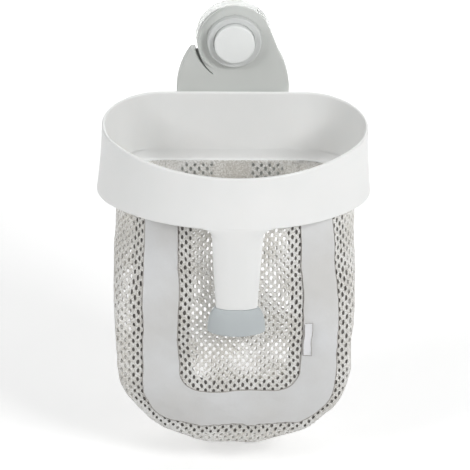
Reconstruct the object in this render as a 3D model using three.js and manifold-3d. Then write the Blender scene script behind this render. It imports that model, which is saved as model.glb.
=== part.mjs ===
// Bath toy organizer: a D-shaped scoop with a mesh bag, hung on a wall bracket held by a suction cup.
// Millimetres. X is to the right, Z is up, and +Y points into the wall.
// The origin is on the wall, at the centre of the suction cup.
// Distances out from the wall are called "out" and lie along -Y.
import * as THREE from 'three';
import { mergeVertices } from 'three/addons/utils/BufferGeometryUtils.js';
import Module from 'manifold-3d';

const wasm = await Module();
wasm.setup();

// Shared clearances and fineness
const fit_gap = 0.3;
const overrun = 1;
const weld_tolerance = 0.0001;
const round_segments = 40;
const small_segments = 12;
const screw_segments = 8;

// Scoop rim
const rim_half_width = 129;
const rim_depth = 154;
const rim_end_radius = 60;
const rim_out_back = 18.2;
const rim_top_drop = 52.8;
const rim_height_back = 77.7;
const rim_front_drop = 20;
const rim_front_rise = 5.1;
const rim_rise_power = 3;
const rim_wall = 3;
const rim_flare = 5;
const rim_flare_power = 1.65;
const rim_height_shares = [0, 0.25, 0.5, 0.75];
const rim_crest_degrees = [0, 60, 120, 180];
const ledge_thick = 2.5;
const rim_flat_stations = 3;
const rim_end_stations = 13;
const rim_front_stations = 9;

// Bag opening, the hole in the ledge that the bag hangs through
const opening_side_margin = 13;
const opening_back_margin = 2.8;
const opening_front_margin = 14.5;
const opening_end_tightening = 8;

// Frame and hem that hold the bag on the ledge
const hem_thick = 1;
const hem_width_share = 0.75;
const hem_reach = 2.2;
const frame_thick = 3;
const frame_screw_radius = 1.5;
const frame_screw_head_radius = 3;
const frame_screw_head_thick = 1.6;
const frame_screw_stations = [10, 14, 18, 22];

// Handle
const handle_top_width = 50;
const handle_seam_width = 40;
const handle_seam_drop = 207.5;
const handle_top_thick = 14;
const handle_seam_thick = 11.5;
const handle_lean = 2;
const handle_crown = 4.5;
const handle_wall = 2.4;
const handle_fillet = 8.5;
const handle_rows = 12;
const handle_section_points = 28;
const handle_corner_power = 0.4;
const handle_row_power = 1.5;
const handle_cover_thick = 2;
const handle_screw_radius = 1.4;
const handle_screw_head_radius = 2.8;
const handle_screw_length = 8;
const handle_boss_radius = 3.6;
const handle_boss_shares = [0.2, 0.8];

// Grip end, the soft boot on the handle
const grip_length = 29.5;
const grip_flare = 8.2;
const grip_swell_front = 5;
const grip_swell_back = 4;
const grip_tongue_width = 28;
const grip_tongue_thick = 6;
const grip_tongue_length = 24;
const grip_flare_shares = [[0, 0], [0.04, 0.06], [0.2, 0.38], [0.45, 0.74], [0.72, 0.93], [0.93, 1],
  [1, 0.93]];

// Mesh bag
const cloth_thick = 1.2;
const bag_half_width = 116.5;
const bag_drop = 382;
const bag_corner_height = 97;
const bag_corner_power = 2.25;
const bag_corner_end = 88;
const bag_front_setback = 2.7;
const bag_back_shift = 6;
const bag_bulge = 12;
const seam_inset = 2.1;
const bag_blend_height = 150;
const bag_swell = 2;
const bag_floor_sag = 5;
const front_panel_columns = 14;
const back_panel_columns = 2;
const bag_straight_rows = 7;
const bag_corner_rows = 9;
const gusset_columns = 6;

// Solid band on the front of the bag, its lining behind the mesh, and the bare tag
const band_inner_half = 60;
const band_width = 34;
const band_inner_drop = 315.5;
const band_corner_radius = 24;
const band_outer_corner_radius = 46;
const band_bottom_width = 40;
const band_clearance = 0.6;
const lining_margin = 12;
const lining_clearance = 1.2;
const search_steps = 20;
const band_corner_steps = 6;
const band_leg_steps = 9;
const band_across_steps = 3;
const tag_width = 8;
const tag_height = 36;
const tag_top_drop = 240.5;
const tag_thick = 0.8;

// Hook on the back of the scoop
const hook_half_width = 14;
const hook_top_drop = 84;
const hook_engage = 20;
const hook_thick = 3;
const hook_rib_width = 3;

// Bracket plate
const plate_out_front = 15;
const plate_thick = 3;
const plate_circle_radius = 36.3;
const dome_half_width = 55.3;
const dome_height = 66;
const dome_drop = 53;
const plate_bottom_drop = 165;
const plate_corner_radius = 12;
const plate_bevel = 0.9;
const skirt_thick = 2.4;
const skirt_out = 4;
const window_half_width = 16;
const window_top_drop = 62;
const bar_top_drop = 104;
const bar_height = 25;
const notch_radius = 5;
const shoulder_reach = 12;
const shoulder_dome_angle = 30;
const shoulder_circle_angle = 28;
const lobe_top_drop = 9.5;
const corner_steps = 3;
const dome_steps = 6;
const circle_steps = 24;
const plate_rib_thick = 2;
const groove_depth = 2;
const groove_width = 3;
const groove_drift = 4.6;
const groove_drift_power = 1.4;
const groove_taper = 0.7;
const groove_from_angle = 193;
const groove_to_angle = 241;
const groove_steps = 10;

// Hub on the plate, where the button slides
const pocket_radius = 22;
const pocket_wall = 2;
const pocket_floor_thick = 2;
const press_ring_radius = 29;
const press_ring_wall = 2.4;

// Silver ring round the button
const ring_base_radius = 27.6;
const ring_front_radius = 25.6;
const ring_out_front = 19.5;
const ring_bore_radius = 20.2;
const ring_bevel = 1.4;
const ring_lip_thick = 1.2;
const ring_stake_radius = 1.1;
const ring_stake_count = 3;
const ring_stake_circle = 25.7;

// Button and the parts behind it
const button_radius = 19.8;
const button_out_front = 27;
const button_travel = 4;
const button_crown = 0.5;
const button_edge = 1.1;
const cap_thick = 1.8;
const cap_wall = 1.4;
const carrier_foot_radius = 21.4;
const carrier_foot_thick = 1.4;
const carrier_wall = 1.6;
const carrier_web_out = 20.8;
const carrier_web_thick = 1.4;
const nut_radius = 6.8;
const nut_sides = 6;
const nut_thick = 1.9;

// Button spring
const spring_radius = 11;
const spring_wire = 0.9;
const spring_curls = 3;
const spring_steps = 8;
const spring_sides = 5;

// Stud between the button and the cup
const stud_radius = 4;
const stud_flange_radius = 9;
const stud_flange_thick = 1.9;

// Suction cup
const cup_lip_radius = 37;
const cup_lip_thick = 1.2;
const cup_lip_flat = 3.5;
const cup_hollow = 4.4;
const cup_shoulder_out = 7.4;
const cup_boss_radius = 12;
const cup_boss_out = 10;
const cup_skin = 1;
const tab_angle = 42;
const tab_half_angle = 9;
const tab_thick = 1.8;
const tab_out = 6.5;

// Wall pads under the bracket's legs
const pad_radius = 7;
const pad_thick = 2;
const pad_stem_radius = 2.4;
const pad_stem_length = 4;
const pad_boss_wall = 2;
const pad_inset = 15;

// Colours, roughness and metalness
const white_plastic = { color: 0xe9eae9, roughness: 0.35, metalness: 0 };
const grey_plastic = { color: 0xb9bebd, roughness: 0.5, metalness: 0 };
const silver_plastic = { color: 0xc3c6c8, roughness: 0.4, metalness: 0 };
const soft_grey = { color: 0xb4babc, roughness: 0.7, metalness: 0 };
const clear_rubber = { color: 0xeeeeea, roughness: 0.3, metalness: 0 };
const mesh_fabric = { color: 0xcbc9c4, roughness: 0.9, metalness: 0 };
const band_fabric = { color: 0xd2d2d0, roughness: 0.9, metalness: 0 };
const lining_fabric = { color: 0x77746f, roughness: 0.95, metalness: 0 };
const tag_fabric = { color: 0xf1f0f4, roughness: 0.8, metalness: 0 };
const steel = { color: 0xb5b8ba, roughness: 0.3, metalness: 1 };

const organizer = new THREE.Group();

// Closed solids from three.js geometry

function signedVolume(geometry) {
  const points = geometry.attributes.position;
  const [a, b, c] = [new THREE.Vector3(), new THREE.Vector3(), new THREE.Vector3()];
  const index = geometry.index.array;
  let volume = 0;
  for (let i = 0; i < index.length; i += 3) {
    a.fromBufferAttribute(points, index[i]);
    b.fromBufferAttribute(points, index[i + 1]);
    c.fromBufferAttribute(points, index[i + 2]);
    volume += a.dot(b.cross(c));
  }
  return volume;
}

function weld(geometry) {
  const bare = geometry.clone();
  bare.deleteAttribute('normal');
  bare.deleteAttribute('uv');
  const merged = mergeVertices(bare, weld_tolerance);
  const index = merged.index.array;
  const kept = [];
  for (let i = 0; i < index.length; i += 3) {
    const corners = [index[i], index[i + 1], index[i + 2]];
    if (new Set(corners).size === 3) kept.push(...corners);
  }
  merged.setIndex(kept);
  if (signedVolume(merged) < 0) merged.setIndex(kept.reverse());
  return merged;
}

function solid(geometry) {
  const welded = weld(geometry);
  return new wasm.Manifold(new wasm.Mesh({
    numProp: 3,
    vertProperties: new Float32Array(welded.attributes.position.array),
    triVerts: new Uint32Array(welded.index.array),
  }));
}

function join(first, ...others) {
  return others.reduce((whole, other) => whole.add(other), first);
}

function cut(first, ...others) {
  return others.reduce((rest, other) => rest.subtract(other), first);
}

function addPiece(name, manifold, finish) {
  const mesh = manifold.getMesh();
  const geometry = new THREE.BufferGeometry();
  geometry.setAttribute('position', new THREE.BufferAttribute(new Float32Array(mesh.vertProperties), 3));
  geometry.setIndex(new THREE.BufferAttribute(new Uint32Array(mesh.triVerts), 1));
  geometry.computeVertexNormals();
  const piece = new THREE.Mesh(geometry, new THREE.MeshStandardMaterial(finish));
  piece.name = name;
  organizer.add(piece);
}

// A grid of points [row][column] as one skin; wrap joins the last row or column to the first
function skinIndices(rows, columns, wrap_rows, wrap_columns) {
  const indices = [];
  const last_row = wrap_rows ? rows : rows - 1;
  const last_column = wrap_columns ? columns : columns - 1;
  for (let i = 0; i < last_row; i++) {
    for (let j = 0; j < last_column; j++) {
      const a = i * columns + j;
      const b = i * columns + (j + 1) % columns;
      const c = ((i + 1) % rows) * columns + (j + 1) % columns;
      const d = ((i + 1) % rows) * columns + j;
      indices.push(a, b, c, a, c, d);
    }
  }
  return indices;
}

function geometryOf(points, indices) {
  const geometry = new THREE.BufferGeometry();
  const numbers = points.flatMap((p) => [p.x, p.y, p.z]);
  geometry.setAttribute('position', new THREE.Float32BufferAttribute(numbers, 3));
  geometry.setIndex(indices);
  return geometry;
}

// Loops that follow one another round a hollow ring, closed both ways
function ringSolid(loops) {
  const points = loops.flat();
  return solid(geometryOf(points, skinIndices(loops.length, loops[0].length, true, true)));
}

// Loops stacked into a solid bar, closed by a fan at each end
function stackSolid(loops) {
  const columns = loops[0].length;
  const points = loops.flat();
  const indices = skinIndices(loops.length, columns, false, true);
  for (const [row, forward] of [[0, false], [loops.length - 1, true]]) {
    const middle = new THREE.Vector3();
    loops[row].forEach((p) => middle.addScaledVector(p, 1 / columns));
    points.push(middle);
    for (let j = 0; j < columns; j++) {
      const a = row * columns + j;
      const b = row * columns + (j + 1) % columns;
      indices.push(...(forward ? [a, b, points.length - 1] : [b, a, points.length - 1]));
    }
  }
  return solid(geometryOf(points, indices));
}

// Two matching grids of points, outer and inner, closed round their border
function sheetSolid(outer, inner) {
  const rows = outer.length;
  const columns = outer[0].length;
  const points = [...outer.flat(), ...inner.flat()];
  const shift = rows * columns;
  const face = skinIndices(rows, columns, false, false);
  const back = face.map((i) => i + shift).reverse();
  const border = [];
  for (let j = 0; j < columns; j++) border.push(j);
  for (let i = 1; i < rows; i++) border.push(i * columns + columns - 1);
  for (let j = columns - 2; j >= 0; j--) border.push((rows - 1) * columns + j);
  for (let i = rows - 2; i > 0; i--) border.push(i * columns);
  const sides = border.flatMap((a, k) => {
    const b = border[(k + 1) % border.length];
    return [b, a, a + shift, b, a + shift, b + shift];
  });
  return solid(geometryOf(points, [...face, ...back, ...sides]));
}

// A turned piece about the button's axis; the profile is [radius, out] pairs
function turned(profile, segments = round_segments) {
  const points = profile.map(([radius, out]) => new THREE.Vector2(radius, -out));
  return solid(new THREE.LatheGeometry(points, segments));
}

function closedProfile(profile) {
  return [...profile, profile[0]];
}

function disc(radius, out_back, out_front, segments = small_segments) {
  return turned([[0, out_back], [radius, out_back], [radius, out_front], [0, out_front]], segments);
}

function at(manifold, x, z) {
  return manifold.translate([x, 0, z]);
}

// A flat outline, drawn in x and height, made into a plate between two distances out from the wall
function plate(shape, out_back, out_front, bevel = 0) {
  const options = {
    depth: out_front - out_back - 2 * bevel,
    bevelEnabled: bevel > 0,
    bevelThickness: bevel,
    bevelSize: bevel,
    bevelOffset: -bevel,
    bevelSegments: 1,
    curveSegments: small_segments,
  };
  const geometry = new THREE.ExtrudeGeometry(shape, options);
  geometry.rotateX(Math.PI / 2);
  geometry.translate(0, -out_back - bevel, 0);
  return solid(geometry);
}

function block(x_low, x_high, out_low, out_high, z_low, z_high) {
  const geometry = new THREE.BoxGeometry(x_high - x_low, out_high - out_low, z_high - z_low);
  geometry.translate((x_low + x_high) / 2, -(out_low + out_high) / 2, (z_low + z_high) / 2);
  return solid(geometry);
}

function mix(a, b, share) {
  return a + (b - a) * share;
}

function smooth(share) {
  const s = Math.min(Math.max(share, 0), 1);
  return s * s * (3 - 2 * s);
}

function point(x, out, z) {
  return new THREE.Vector3(x, -out, z);
}

// The D outline: a flat back, a round end on each side and one wide arc across the front.
// The half goes from the middle of the back round the right side to the middle of the front.
function dHalf({ half_width, back, front, end_radius }, offsetAt) {
  const end_x = half_width - end_radius;
  const depth = front - back;
  const reach = depth - end_radius;
  const arc_shift = (reach ** 2 - end_x ** 2 - end_radius ** 2) / (2 * (reach - end_radius));
  const arc_radius = depth - arc_shift;
  const join_angle = Math.atan2(end_radius - arc_shift, end_x);
  const half = [];
  const place = (cx, cout, radius, angle) => {
    const normal = { x: Math.cos(angle), out: Math.sin(angle) };
    const r = radius + offsetAt(normal.out);
    half.push({ x: cx + r * normal.x, out: cout + r * normal.out });
  };
  for (let i = 0; i < rim_flat_stations; i++) {
    half.push({ x: end_x * i / rim_flat_stations, out: back - offsetAt(-1) });
  }
  for (let i = 0; i <= rim_end_stations; i++) {
    place(end_x, back + end_radius, end_radius, mix(-Math.PI / 2, join_angle, i / rim_end_stations));
  }
  for (let i = 1; i <= rim_front_stations; i++) {
    place(0, back + arc_shift, arc_radius, mix(join_angle, Math.PI / 2, i / rim_front_stations));
  }
  return half;
}

// The whole outline, the half and its mirror image
function dOutline(outline, offsetAt) {
  const half = dHalf(outline, offsetAt);
  const mirrored = half.slice(1, -1).reverse().map(({ x, out }) => ({ x: -x, out }));
  return [...half, ...mirrored];
}

const rim_outline = {
  half_width: rim_half_width,
  back: rim_out_back,
  front: rim_out_back + rim_depth,
  end_radius: rim_end_radius,
};
const rim_out_front = rim_outline.front + rim_flare;
const rim_bottom = -rim_top_drop - rim_height_back;
const ledge_top = rim_bottom + ledge_thick;
const opening_outline = {
  half_width: rim_half_width + rim_flare - rim_wall - opening_side_margin,
  back: rim_out_back + rim_wall + opening_back_margin,
  front: rim_out_front - rim_wall - opening_front_margin,
  end_radius: rim_end_radius - opening_end_tightening,
};

// The rim flares towards its bottom at the sides and the front, and its back stays flat
function flareAt(share, inset) {
  return (normal_out) => rim_flare * share * (1 - Math.max(0, -normal_out) ** 2) - inset;
}

function depthShare(out) {
  return (out - rim_out_back) / rim_depth;
}

function rimTop(out) {
  return -rim_top_drop - rim_front_drop * depthShare(out);
}

function rimBottom(out) {
  return rim_bottom + rim_front_rise * Math.max(0, depthShare(out)) ** rim_rise_power;
}

const front_bottom = rimBottom(rim_outline.front);

function rimLoop(flare_share, inset, height_share, lift) {
  return dOutline(rim_outline, flareAt(flare_share, inset)).map(({ x, out }) => (
    point(x, out, mix(rimBottom(out), rimTop(out), height_share) + lift)));
}

function openingLoop(offset, lift) {
  return dOutline(opening_outline, () => offset).map(({ x, out }) => point(x, out, rimBottom(out) + lift));
}

// How much of the flare is left at a share of the wall's height
function flareShare(height_share) {
  return (1 - height_share) ** rim_flare_power;
}

function rimWallSolid() {
  const edge = rim_wall / 2;
  const outside = rim_height_shares.map((share) => rimLoop(flareShare(share), 0, share, 0));
  const crest = rim_crest_degrees.map((degrees) => {
    const angle = THREE.MathUtils.degToRad(degrees);
    return rimLoop(0, edge - edge * Math.cos(angle), 1, edge * Math.sin(angle) - edge);
  });
  const upper_shares = rim_height_shares.slice(1).reverse();
  const inside = upper_shares.map((share) => rimLoop(flareShare(share), rim_wall, share, 0));
  const ledge = [rimLoop(1, rim_wall, 0, ledge_thick), openingLoop(0, ledge_thick), openingLoop(0, 0)];
  return ringSolid([...outside, ...crest, ...inside, ...ledge]);
}

// Handle, leaning slightly forward from the middle of the rim's front

function handleAt(drop) {
  const share = (drop + front_bottom) / (handle_seam_drop + front_bottom);
  const rise = Math.max(0, handle_fillet - (drop + front_bottom));
  const reach = Math.min(rise, handle_fillet);
  const fillet = handle_fillet - Math.sqrt(Math.max(0, handle_fillet ** 2 - reach ** 2));
  return {
    half_width: mix(handle_top_width, handle_seam_width, share) / 2 + fillet,
    front: rim_out_front + handle_lean * share,
    thick: mix(handle_top_thick, handle_seam_thick, share),
  };
}

function handleLoop({ half_width, front, thick }, drop, inset) {
  const loop = [];
  for (let i = 0; i < handle_section_points; i++) {
    const angle = 2 * Math.PI * i / handle_section_points;
    const across = Math.sign(Math.cos(angle)) * Math.abs(Math.cos(angle)) ** handle_corner_power;
    const deep = Math.sign(Math.sin(angle)) * Math.abs(Math.sin(angle)) ** handle_corner_power;
    const crown = handle_crown * across ** 2 * (1 + deep) / 2;
    const out = front - thick / 2 + deep * (thick / 2 - inset) - crown;
    loop.push(point(across * (half_width - inset), out, -drop));
  }
  return loop;
}

function handleStack(inset, top_drop, bottom_drop) {
  const loops = [];
  for (let i = 0; i <= handle_rows; i++) {
    const drop = mix(top_drop, bottom_drop, (i / handle_rows) ** handle_row_power);
    loops.push(handleLoop(handleAt(drop), drop, inset));
  }
  return stackSolid(loops);
}

const seam = handleAt(handle_seam_drop);
const seam_back = seam.front - seam.thick;
const tongue_front = seam.front - seam.thick / 2 + grip_tongue_thick / 2;

function gripTongue(gap) {
  const half = grip_tongue_width / 2 + gap;
  const low = tongue_front - grip_tongue_thick - gap;
  const bottom = -handle_seam_drop - grip_tongue_length - gap;
  return block(-half, half, low, tongue_front + gap, bottom, -handle_seam_drop + handle_wall);
}

// The channel in the handle's back, and the places of the two bosses in it
const channel_top_drop = -front_bottom + handle_wall;
const channel_bottom_drop = handle_seam_drop - handle_wall;

function channelLoops(inset, out_low_at, out_high_at) {
  const loops = [];
  for (let i = 0; i <= handle_rows; i++) {
    const drop = mix(channel_top_drop + inset, channel_bottom_drop - inset, i / handle_rows);
    const { half_width, front, thick } = handleAt(drop);
    const side = half_width - handle_wall - inset;
    const back = front - thick;
    const low = out_low_at(back);
    const high = out_high_at(back);
    loops.push([point(-side, low, -drop), point(side, low, -drop), point(side, high, -drop),
      point(-side, high, -drop)]);
  }
  return loops;
}

function channelSolid() {
  const outline = channelLoops(0, (back) => back - overrun, (back) => back + handle_seam_thick / 2);
  return stackSolid(outline);
}

const boss_drops = handle_boss_shares.map((share) => mix(channel_top_drop, channel_bottom_drop, share));

function backAt(drop) {
  const { front, thick } = handleAt(drop);
  return front - thick;
}

function handleBosses() {
  return boss_drops.map((drop) => {
    const back = backAt(drop);
    const high = back + handle_seam_thick / 2 + overrun;
    return at(disc(handle_boss_radius, back + handle_cover_thick + fit_gap, high), 0, -drop);
  });
}

function handleScrewHoles(radius) {
  return boss_drops.map((drop) => {
    const back = backAt(drop);
    return at(disc(radius, back - overrun, back + handle_screw_length + fit_gap), 0, -drop);
  });
}

// Hook on the rim's back wall: an arm through the plate's window and a tongue down behind its bar

const tongue_out_front = plate_out_front - plate_thick - 2 * fit_gap;

function hookSolid() {
  const wall = rim_out_back + rim_wall / 2;
  const low = tongue_out_front - hook_thick;
  const arm = block(-hook_half_width, hook_half_width, low, wall, -bar_top_drop + fit_gap, -hook_top_drop);
  const tongue = block(-hook_half_width, hook_half_width, low, tongue_out_front,
    -bar_top_drop - hook_engage, -hook_top_drop);
  const ribs = [-1, 1].map((side) => {
    const inner = side * (hook_half_width - hook_rib_width);
    const outer = side * hook_half_width;
    return block(Math.min(inner, outer), Math.max(inner, outer), plate_out_front + fit_gap, wall,
      -bar_top_drop - hook_engage, -bar_top_drop + hook_rib_width);
  });
  return join(arm, tongue, ...ribs);
}

// Screw places round the ledge, midway across it
function screwPlaces() {
  const inner = openingLoop(0, 0);
  const outer = rimLoop(1, rim_wall, 0, 0);
  const count = inner.length;
  const stations = [...frame_screw_stations, ...frame_screw_stations.map((i) => count - i)];
  return stations.map((i) => inner[i].clone().lerp(outer[i], 0.5));
}

function uprightRod(place, radius, z_low, z_high) {
  const geometry = new THREE.CylinderGeometry(radius, radius, z_high - z_low, screw_segments);
  geometry.rotateX(Math.PI / 2);
  geometry.translate(place.x, place.y, (z_low + z_high) / 2);
  return solid(geometry);
}

function screwHoles() {
  return screwPlaces().map((place) => (
    uprightRod(place, frame_screw_radius + fit_gap, place.z - overrun, place.z + ledge_thick + hem_thick
      + frame_thick + overrun)));
}

function addRimShell() {
  const handle = cut(handleStack(0, -front_bottom - ledge_thick / 2, handle_seam_drop), channelSolid());
  const body = join(rimWallSolid(), handle, ...handleBosses(), gripTongue(0), hookSolid());
  addPiece('rim_shell', cut(body, ...handleScrewHoles(handle_screw_radius + fit_gap), ...screwHoles()),
    white_plastic);
}

function addHandleCover() {
  const outline = channelLoops(fit_gap, (back) => back, (back) => back + handle_cover_thick);
  addPiece('handle_back_cover', cut(stackSolid(outline), ...handleScrewHoles(handle_screw_radius + fit_gap)),
    white_plastic);
  const screws = boss_drops.map((drop) => {
    const back = backAt(drop);
    const head = disc(handle_screw_head_radius, back - fit_gap - handle_screw_radius, back - fit_gap);
    const under_head = back - fit_gap - handle_screw_radius / 2;
    const shank = disc(handle_screw_radius, under_head, back + handle_screw_length);
    return at(join(head, shank), 0, -drop);
  });
  screws.forEach((screw, i) => addPiece(`handle_screw_${i + 1}`, screw, steel));
}

function addGripEnd() {
  const loops = grip_flare_shares.map(([length_share, flare_share]) => {
    const drop = handle_seam_drop + fit_gap + grip_length * length_share;
    const swell = { front: grip_swell_front * flare_share, back: grip_swell_back * flare_share };
    const section = {
      half_width: seam.half_width + grip_flare * flare_share,
      front: seam.front + swell.front,
      thick: seam.thick + swell.front + swell.back,
    };
    return handleLoop(section, drop, 0);
  });
  addPiece('grip_end', cut(stackSolid(loops), gripTongue(fit_gap)), soft_grey);
}

// The frame and the hem that clamp the bag to the ledge

function flatRing(inner, outer, thick) {
  const raised = (loop) => loop.map((p) => p.clone().setZ(p.z + thick));
  return ringSolid([inner, outer, raised(outer), raised(inner)]);
}

const hem_lift = ledge_thick + fit_gap;
const frame_lift = hem_lift + hem_thick + fit_gap;

function addBagHoldDown() {
  const holes = screwHoles();
  const inner_wall = rimLoop(1, rim_wall, 0, hem_lift);
  const hem_edge = openingLoop(0, hem_lift).map((p, i) => p.lerp(inner_wall[i], hem_width_share));
  const hem = flatRing(openingLoop(-hem_reach, hem_lift), hem_edge, hem_thick);
  addPiece('bag_hem', cut(hem, ...holes), mesh_fabric);
  const frame_flare = flareShare((frame_lift + frame_thick) / rim_height_back);
  const frame_edge = rimLoop(frame_flare, rim_wall + fit_gap, 0, frame_lift);
  const frame = flatRing(openingLoop(0, frame_lift), frame_edge, frame_thick);
  addPiece('bag_frame', cut(frame, ...holes), white_plastic);
  screwPlaces().forEach((place, i) => {
    const seat = place.z + frame_lift + frame_thick + fit_gap;
    const head = uprightRod(place, frame_screw_head_radius, seat, seat + frame_screw_head_thick);
    const shank = uprightRod(place, frame_screw_radius, place.z + fit_gap, seat + fit_gap);
    addPiece(`frame_screw_${i + 1}`, join(head, shank), steel);
  });
}

// Bag: a front and a back panel of the same U shape, joined by a gusset that runs round the U

const bag_top = -ledge_top + fit_gap;
const bag_corner_drop = bag_drop - bag_corner_height;
const bag_edge_out = opening_outline.front - bag_front_setback - bag_bulge;
const bag_back_out = opening_outline.back + bag_back_shift;

// The bag's top edge inside the opening, parted at the back corner and at the widest point
function openingPaths(inset) {
  const half = dHalf(opening_outline, () => -fit_gap - inset).map(({ x, out }) => new THREE.Vector2(x, out));
  const widest = half.reduce((best, p, i) => (p.x > half[best].x ? i : best), 0);
  return {
    back_corner: half[rim_flat_stations],
    gusset: new THREE.Path(half.slice(rim_flat_stations, widest + 1)),
    front: new THREE.Path(half.slice(widest)),
  };
}

const gusset_path = openingPaths(0).gusset;
const panel_paths = openingPaths(seam_inset);

function cornerShare(drop) {
  return Math.max(0, (drop - bag_corner_drop) / bag_corner_height);
}

// Rows down the U, each with its drop and its half width
function bagRows() {
  const rows = [];
  for (let i = 0; i < bag_straight_rows; i++) {
    const share = i / bag_straight_rows;
    const half_width = bag_half_width + bag_swell * Math.sin(Math.PI * share);
    rows.push({ drop: mix(bag_top, bag_corner_drop, share), half_width });
  }
  for (let i = 0; i <= bag_corner_rows; i++) {
    const angle = THREE.MathUtils.degToRad(bag_corner_end * i / bag_corner_rows);
    rows.push({
      drop: bag_corner_drop + bag_corner_height * Math.sin(angle) ** (2 / bag_corner_power),
      half_width: bag_half_width * Math.cos(angle) ** (2 / bag_corner_power),
    });
  }
  return rows;
}

const bag_rows = bagRows();
const panel_rows = bag_rows.map(({ drop, half_width }) => ({
  drop: drop - seam_inset * smooth(cornerShare(drop)),
  half_width: half_width - seam_inset,
}));

// The bag takes the opening's outline at its top and settles into its own U shape below
function settled(top, low_x, low_out, drop) {
  const share = smooth((drop - bag_top) / bag_blend_height);
  const rise = rimBottom(top.y) - rim_bottom;
  return point(mix(top.x, low_x, share), mix(top.y, low_out, share), rise * (1 - share) - drop);
}

function frontPoint({ drop, half_width }, across) {
  const angle = Math.abs(across) * Math.PI / 2;
  const top = panel_paths.front.getPointAt(1 - Math.abs(across));
  const bulge = bag_bulge * Math.cos(angle) * Math.sqrt(Math.max(0, 1 - cornerShare(drop) ** 2));
  const place = settled(top, half_width * Math.sin(angle), bag_edge_out + bulge, drop);
  return place.setX(place.x * Math.sign(across));
}

function backPoint({ drop, half_width }, across) {
  const top = new THREE.Vector2(across * panel_paths.back_corner.x, panel_paths.back_corner.y);
  return settled(top, across * half_width, bag_back_out, drop);
}

function gussetPoint({ drop, half_width }, share) {
  const low_out = mix(bag_back_out, bag_edge_out, share);
  const place = settled(gusset_path.getPointAt(share), half_width, low_out, drop);
  return place.setZ(place.z - bag_floor_sag * Math.sin(Math.PI * share) * smooth(cornerShare(drop)));
}

// Moves each point of a grid out along the grid's own normal
function offsetGrid(grid, distance) {
  const last_row = grid.length - 1;
  const last_column = grid[0].length - 1;
  return grid.map((row, i) => row.map((p, j) => {
    const down = grid[Math.min(i + 1, last_row)][j].clone().sub(grid[Math.max(i - 1, 0)][j]);
    const along = row[Math.min(j + 1, last_column)].clone().sub(row[Math.max(j - 1, 0)]);
    return p.clone().addScaledVector(down.cross(along).normalize(), distance);
  }));
}

function panelSolid(pointAt, columns, thickness) {
  const face = panel_rows.map((row) => {
    const line = [];
    for (let j = 0; j <= columns; j++) line.push(pointAt(row, 2 * j / columns - 1));
    return line;
  });
  return sheetSolid(face, offsetGrid(face, thickness));
}

function gussetSolid() {
  const outside = [];
  for (const [side, rows] of [[-1, bag_rows], [1, bag_rows.slice().reverse()]]) {
    for (const row of rows) {
      const line = [];
      for (let j = 0; j <= gusset_columns; j++) {
        const place = gussetPoint(row, j / gusset_columns);
        line.push(place.setX(place.x * side));
      }
      outside.push(line);
    }
  }
  return sheetSolid(outside, offsetGrid(outside, -cloth_thick));
}

function addBag() {
  addPiece('bag_front_panel', panelSolid(frontPoint, front_panel_columns, -cloth_thick), mesh_fabric);
  addPiece('bag_back_panel', panelSolid(backPoint, back_panel_columns, cloth_thick), mesh_fabric);
  addPiece('bag_gusset', gussetSolid(), mesh_fabric);
}

// Band: a U of solid cloth laid on the front panel, with a lining behind the panel

// The place on the front panel at a given distance from its middle line and a given drop
function onFront(x, drop) {
  const i = panel_rows.findIndex((row) => row.drop > drop);
  const [above, below] = [panel_rows[i - 1], panel_rows[i]];
  const half_width = mix(above.half_width, below.half_width, (drop - above.drop) / (below.drop - above.drop));
  let [low, high] = [0, 1];
  for (let step = 0; step < search_steps; step++) {
    const middle = (low + high) / 2;
    if (frontPoint({ drop, half_width }, middle).x < Math.abs(x)) low = middle;
    else high = middle;
  }
  return frontPoint({ drop, half_width }, high).setX(x);
}

function bandOutline(half, bottom_drop, corner) {
  const top = bag_top + ledge_thick + fit_gap;
  const points = [];
  for (let i = 0; i < band_leg_steps; i++) {
    points.push([half, mix(top, bottom_drop - corner, i / band_leg_steps)]);
  }
  for (let i = 0; i <= band_corner_steps; i++) {
    const angle = Math.PI / 2 * i / band_corner_steps;
    points.push([half - corner + corner * Math.cos(angle), bottom_drop - corner + corner * Math.sin(angle)]);
  }
  points.push([(half - corner) / 2, bottom_drop], [0, bottom_drop]);
  const mirrored = points.slice(0, -1).reverse().map(([x, drop]) => [-x, drop]);
  return [...points, ...mirrored];
}

function bandSolid(margin, lift) {
  const outer_half = band_inner_half + band_width + margin;
  const outer_drop = band_inner_drop + band_bottom_width + margin;
  const inner_corner = band_corner_radius - margin / 2;
  const inner = bandOutline(band_inner_half - margin, band_inner_drop - margin, inner_corner);
  const outer = bandOutline(outer_half, outer_drop, band_outer_corner_radius + margin);
  const rows = inner.map(([x, drop], i) => {
    const line = [];
    for (let j = 0; j <= band_across_steps; j++) {
      const share = j / band_across_steps;
      const place = [mix(x, outer[i][0], share), mix(drop, outer[i][1], share)];
      line.push(onFront(...place));
    }
    return line;
  });
  return sheetSolid(offsetGrid(rows, lift + cloth_thick / 2), offsetGrid(rows, lift));
}

function addBand() {
  addPiece('front_band', bandSolid(0, band_clearance), band_fabric);
  addPiece('band_lining', bandSolid(lining_margin, -cloth_thick * 3 / 2 - lining_clearance), lining_fabric);
  const left = band_inner_half + fit_gap;
  const rows = [0, 0.5, 1].map((share) => {
    const drop = tag_top_drop + tag_height * share;
    return [left, left + tag_width].map((x) => onFront(x, drop));
  });
  const tag_lift = band_clearance + cloth_thick / 2 + fit_gap;
  const tag = sheetSolid(offsetGrid(rows, tag_lift + tag_thick), offsetGrid(rows, tag_lift));
  addPiece('blank_tag', tag, tag_fabric);
}

// Bracket plate: a dome with two legs, whose circle carries the button

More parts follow.
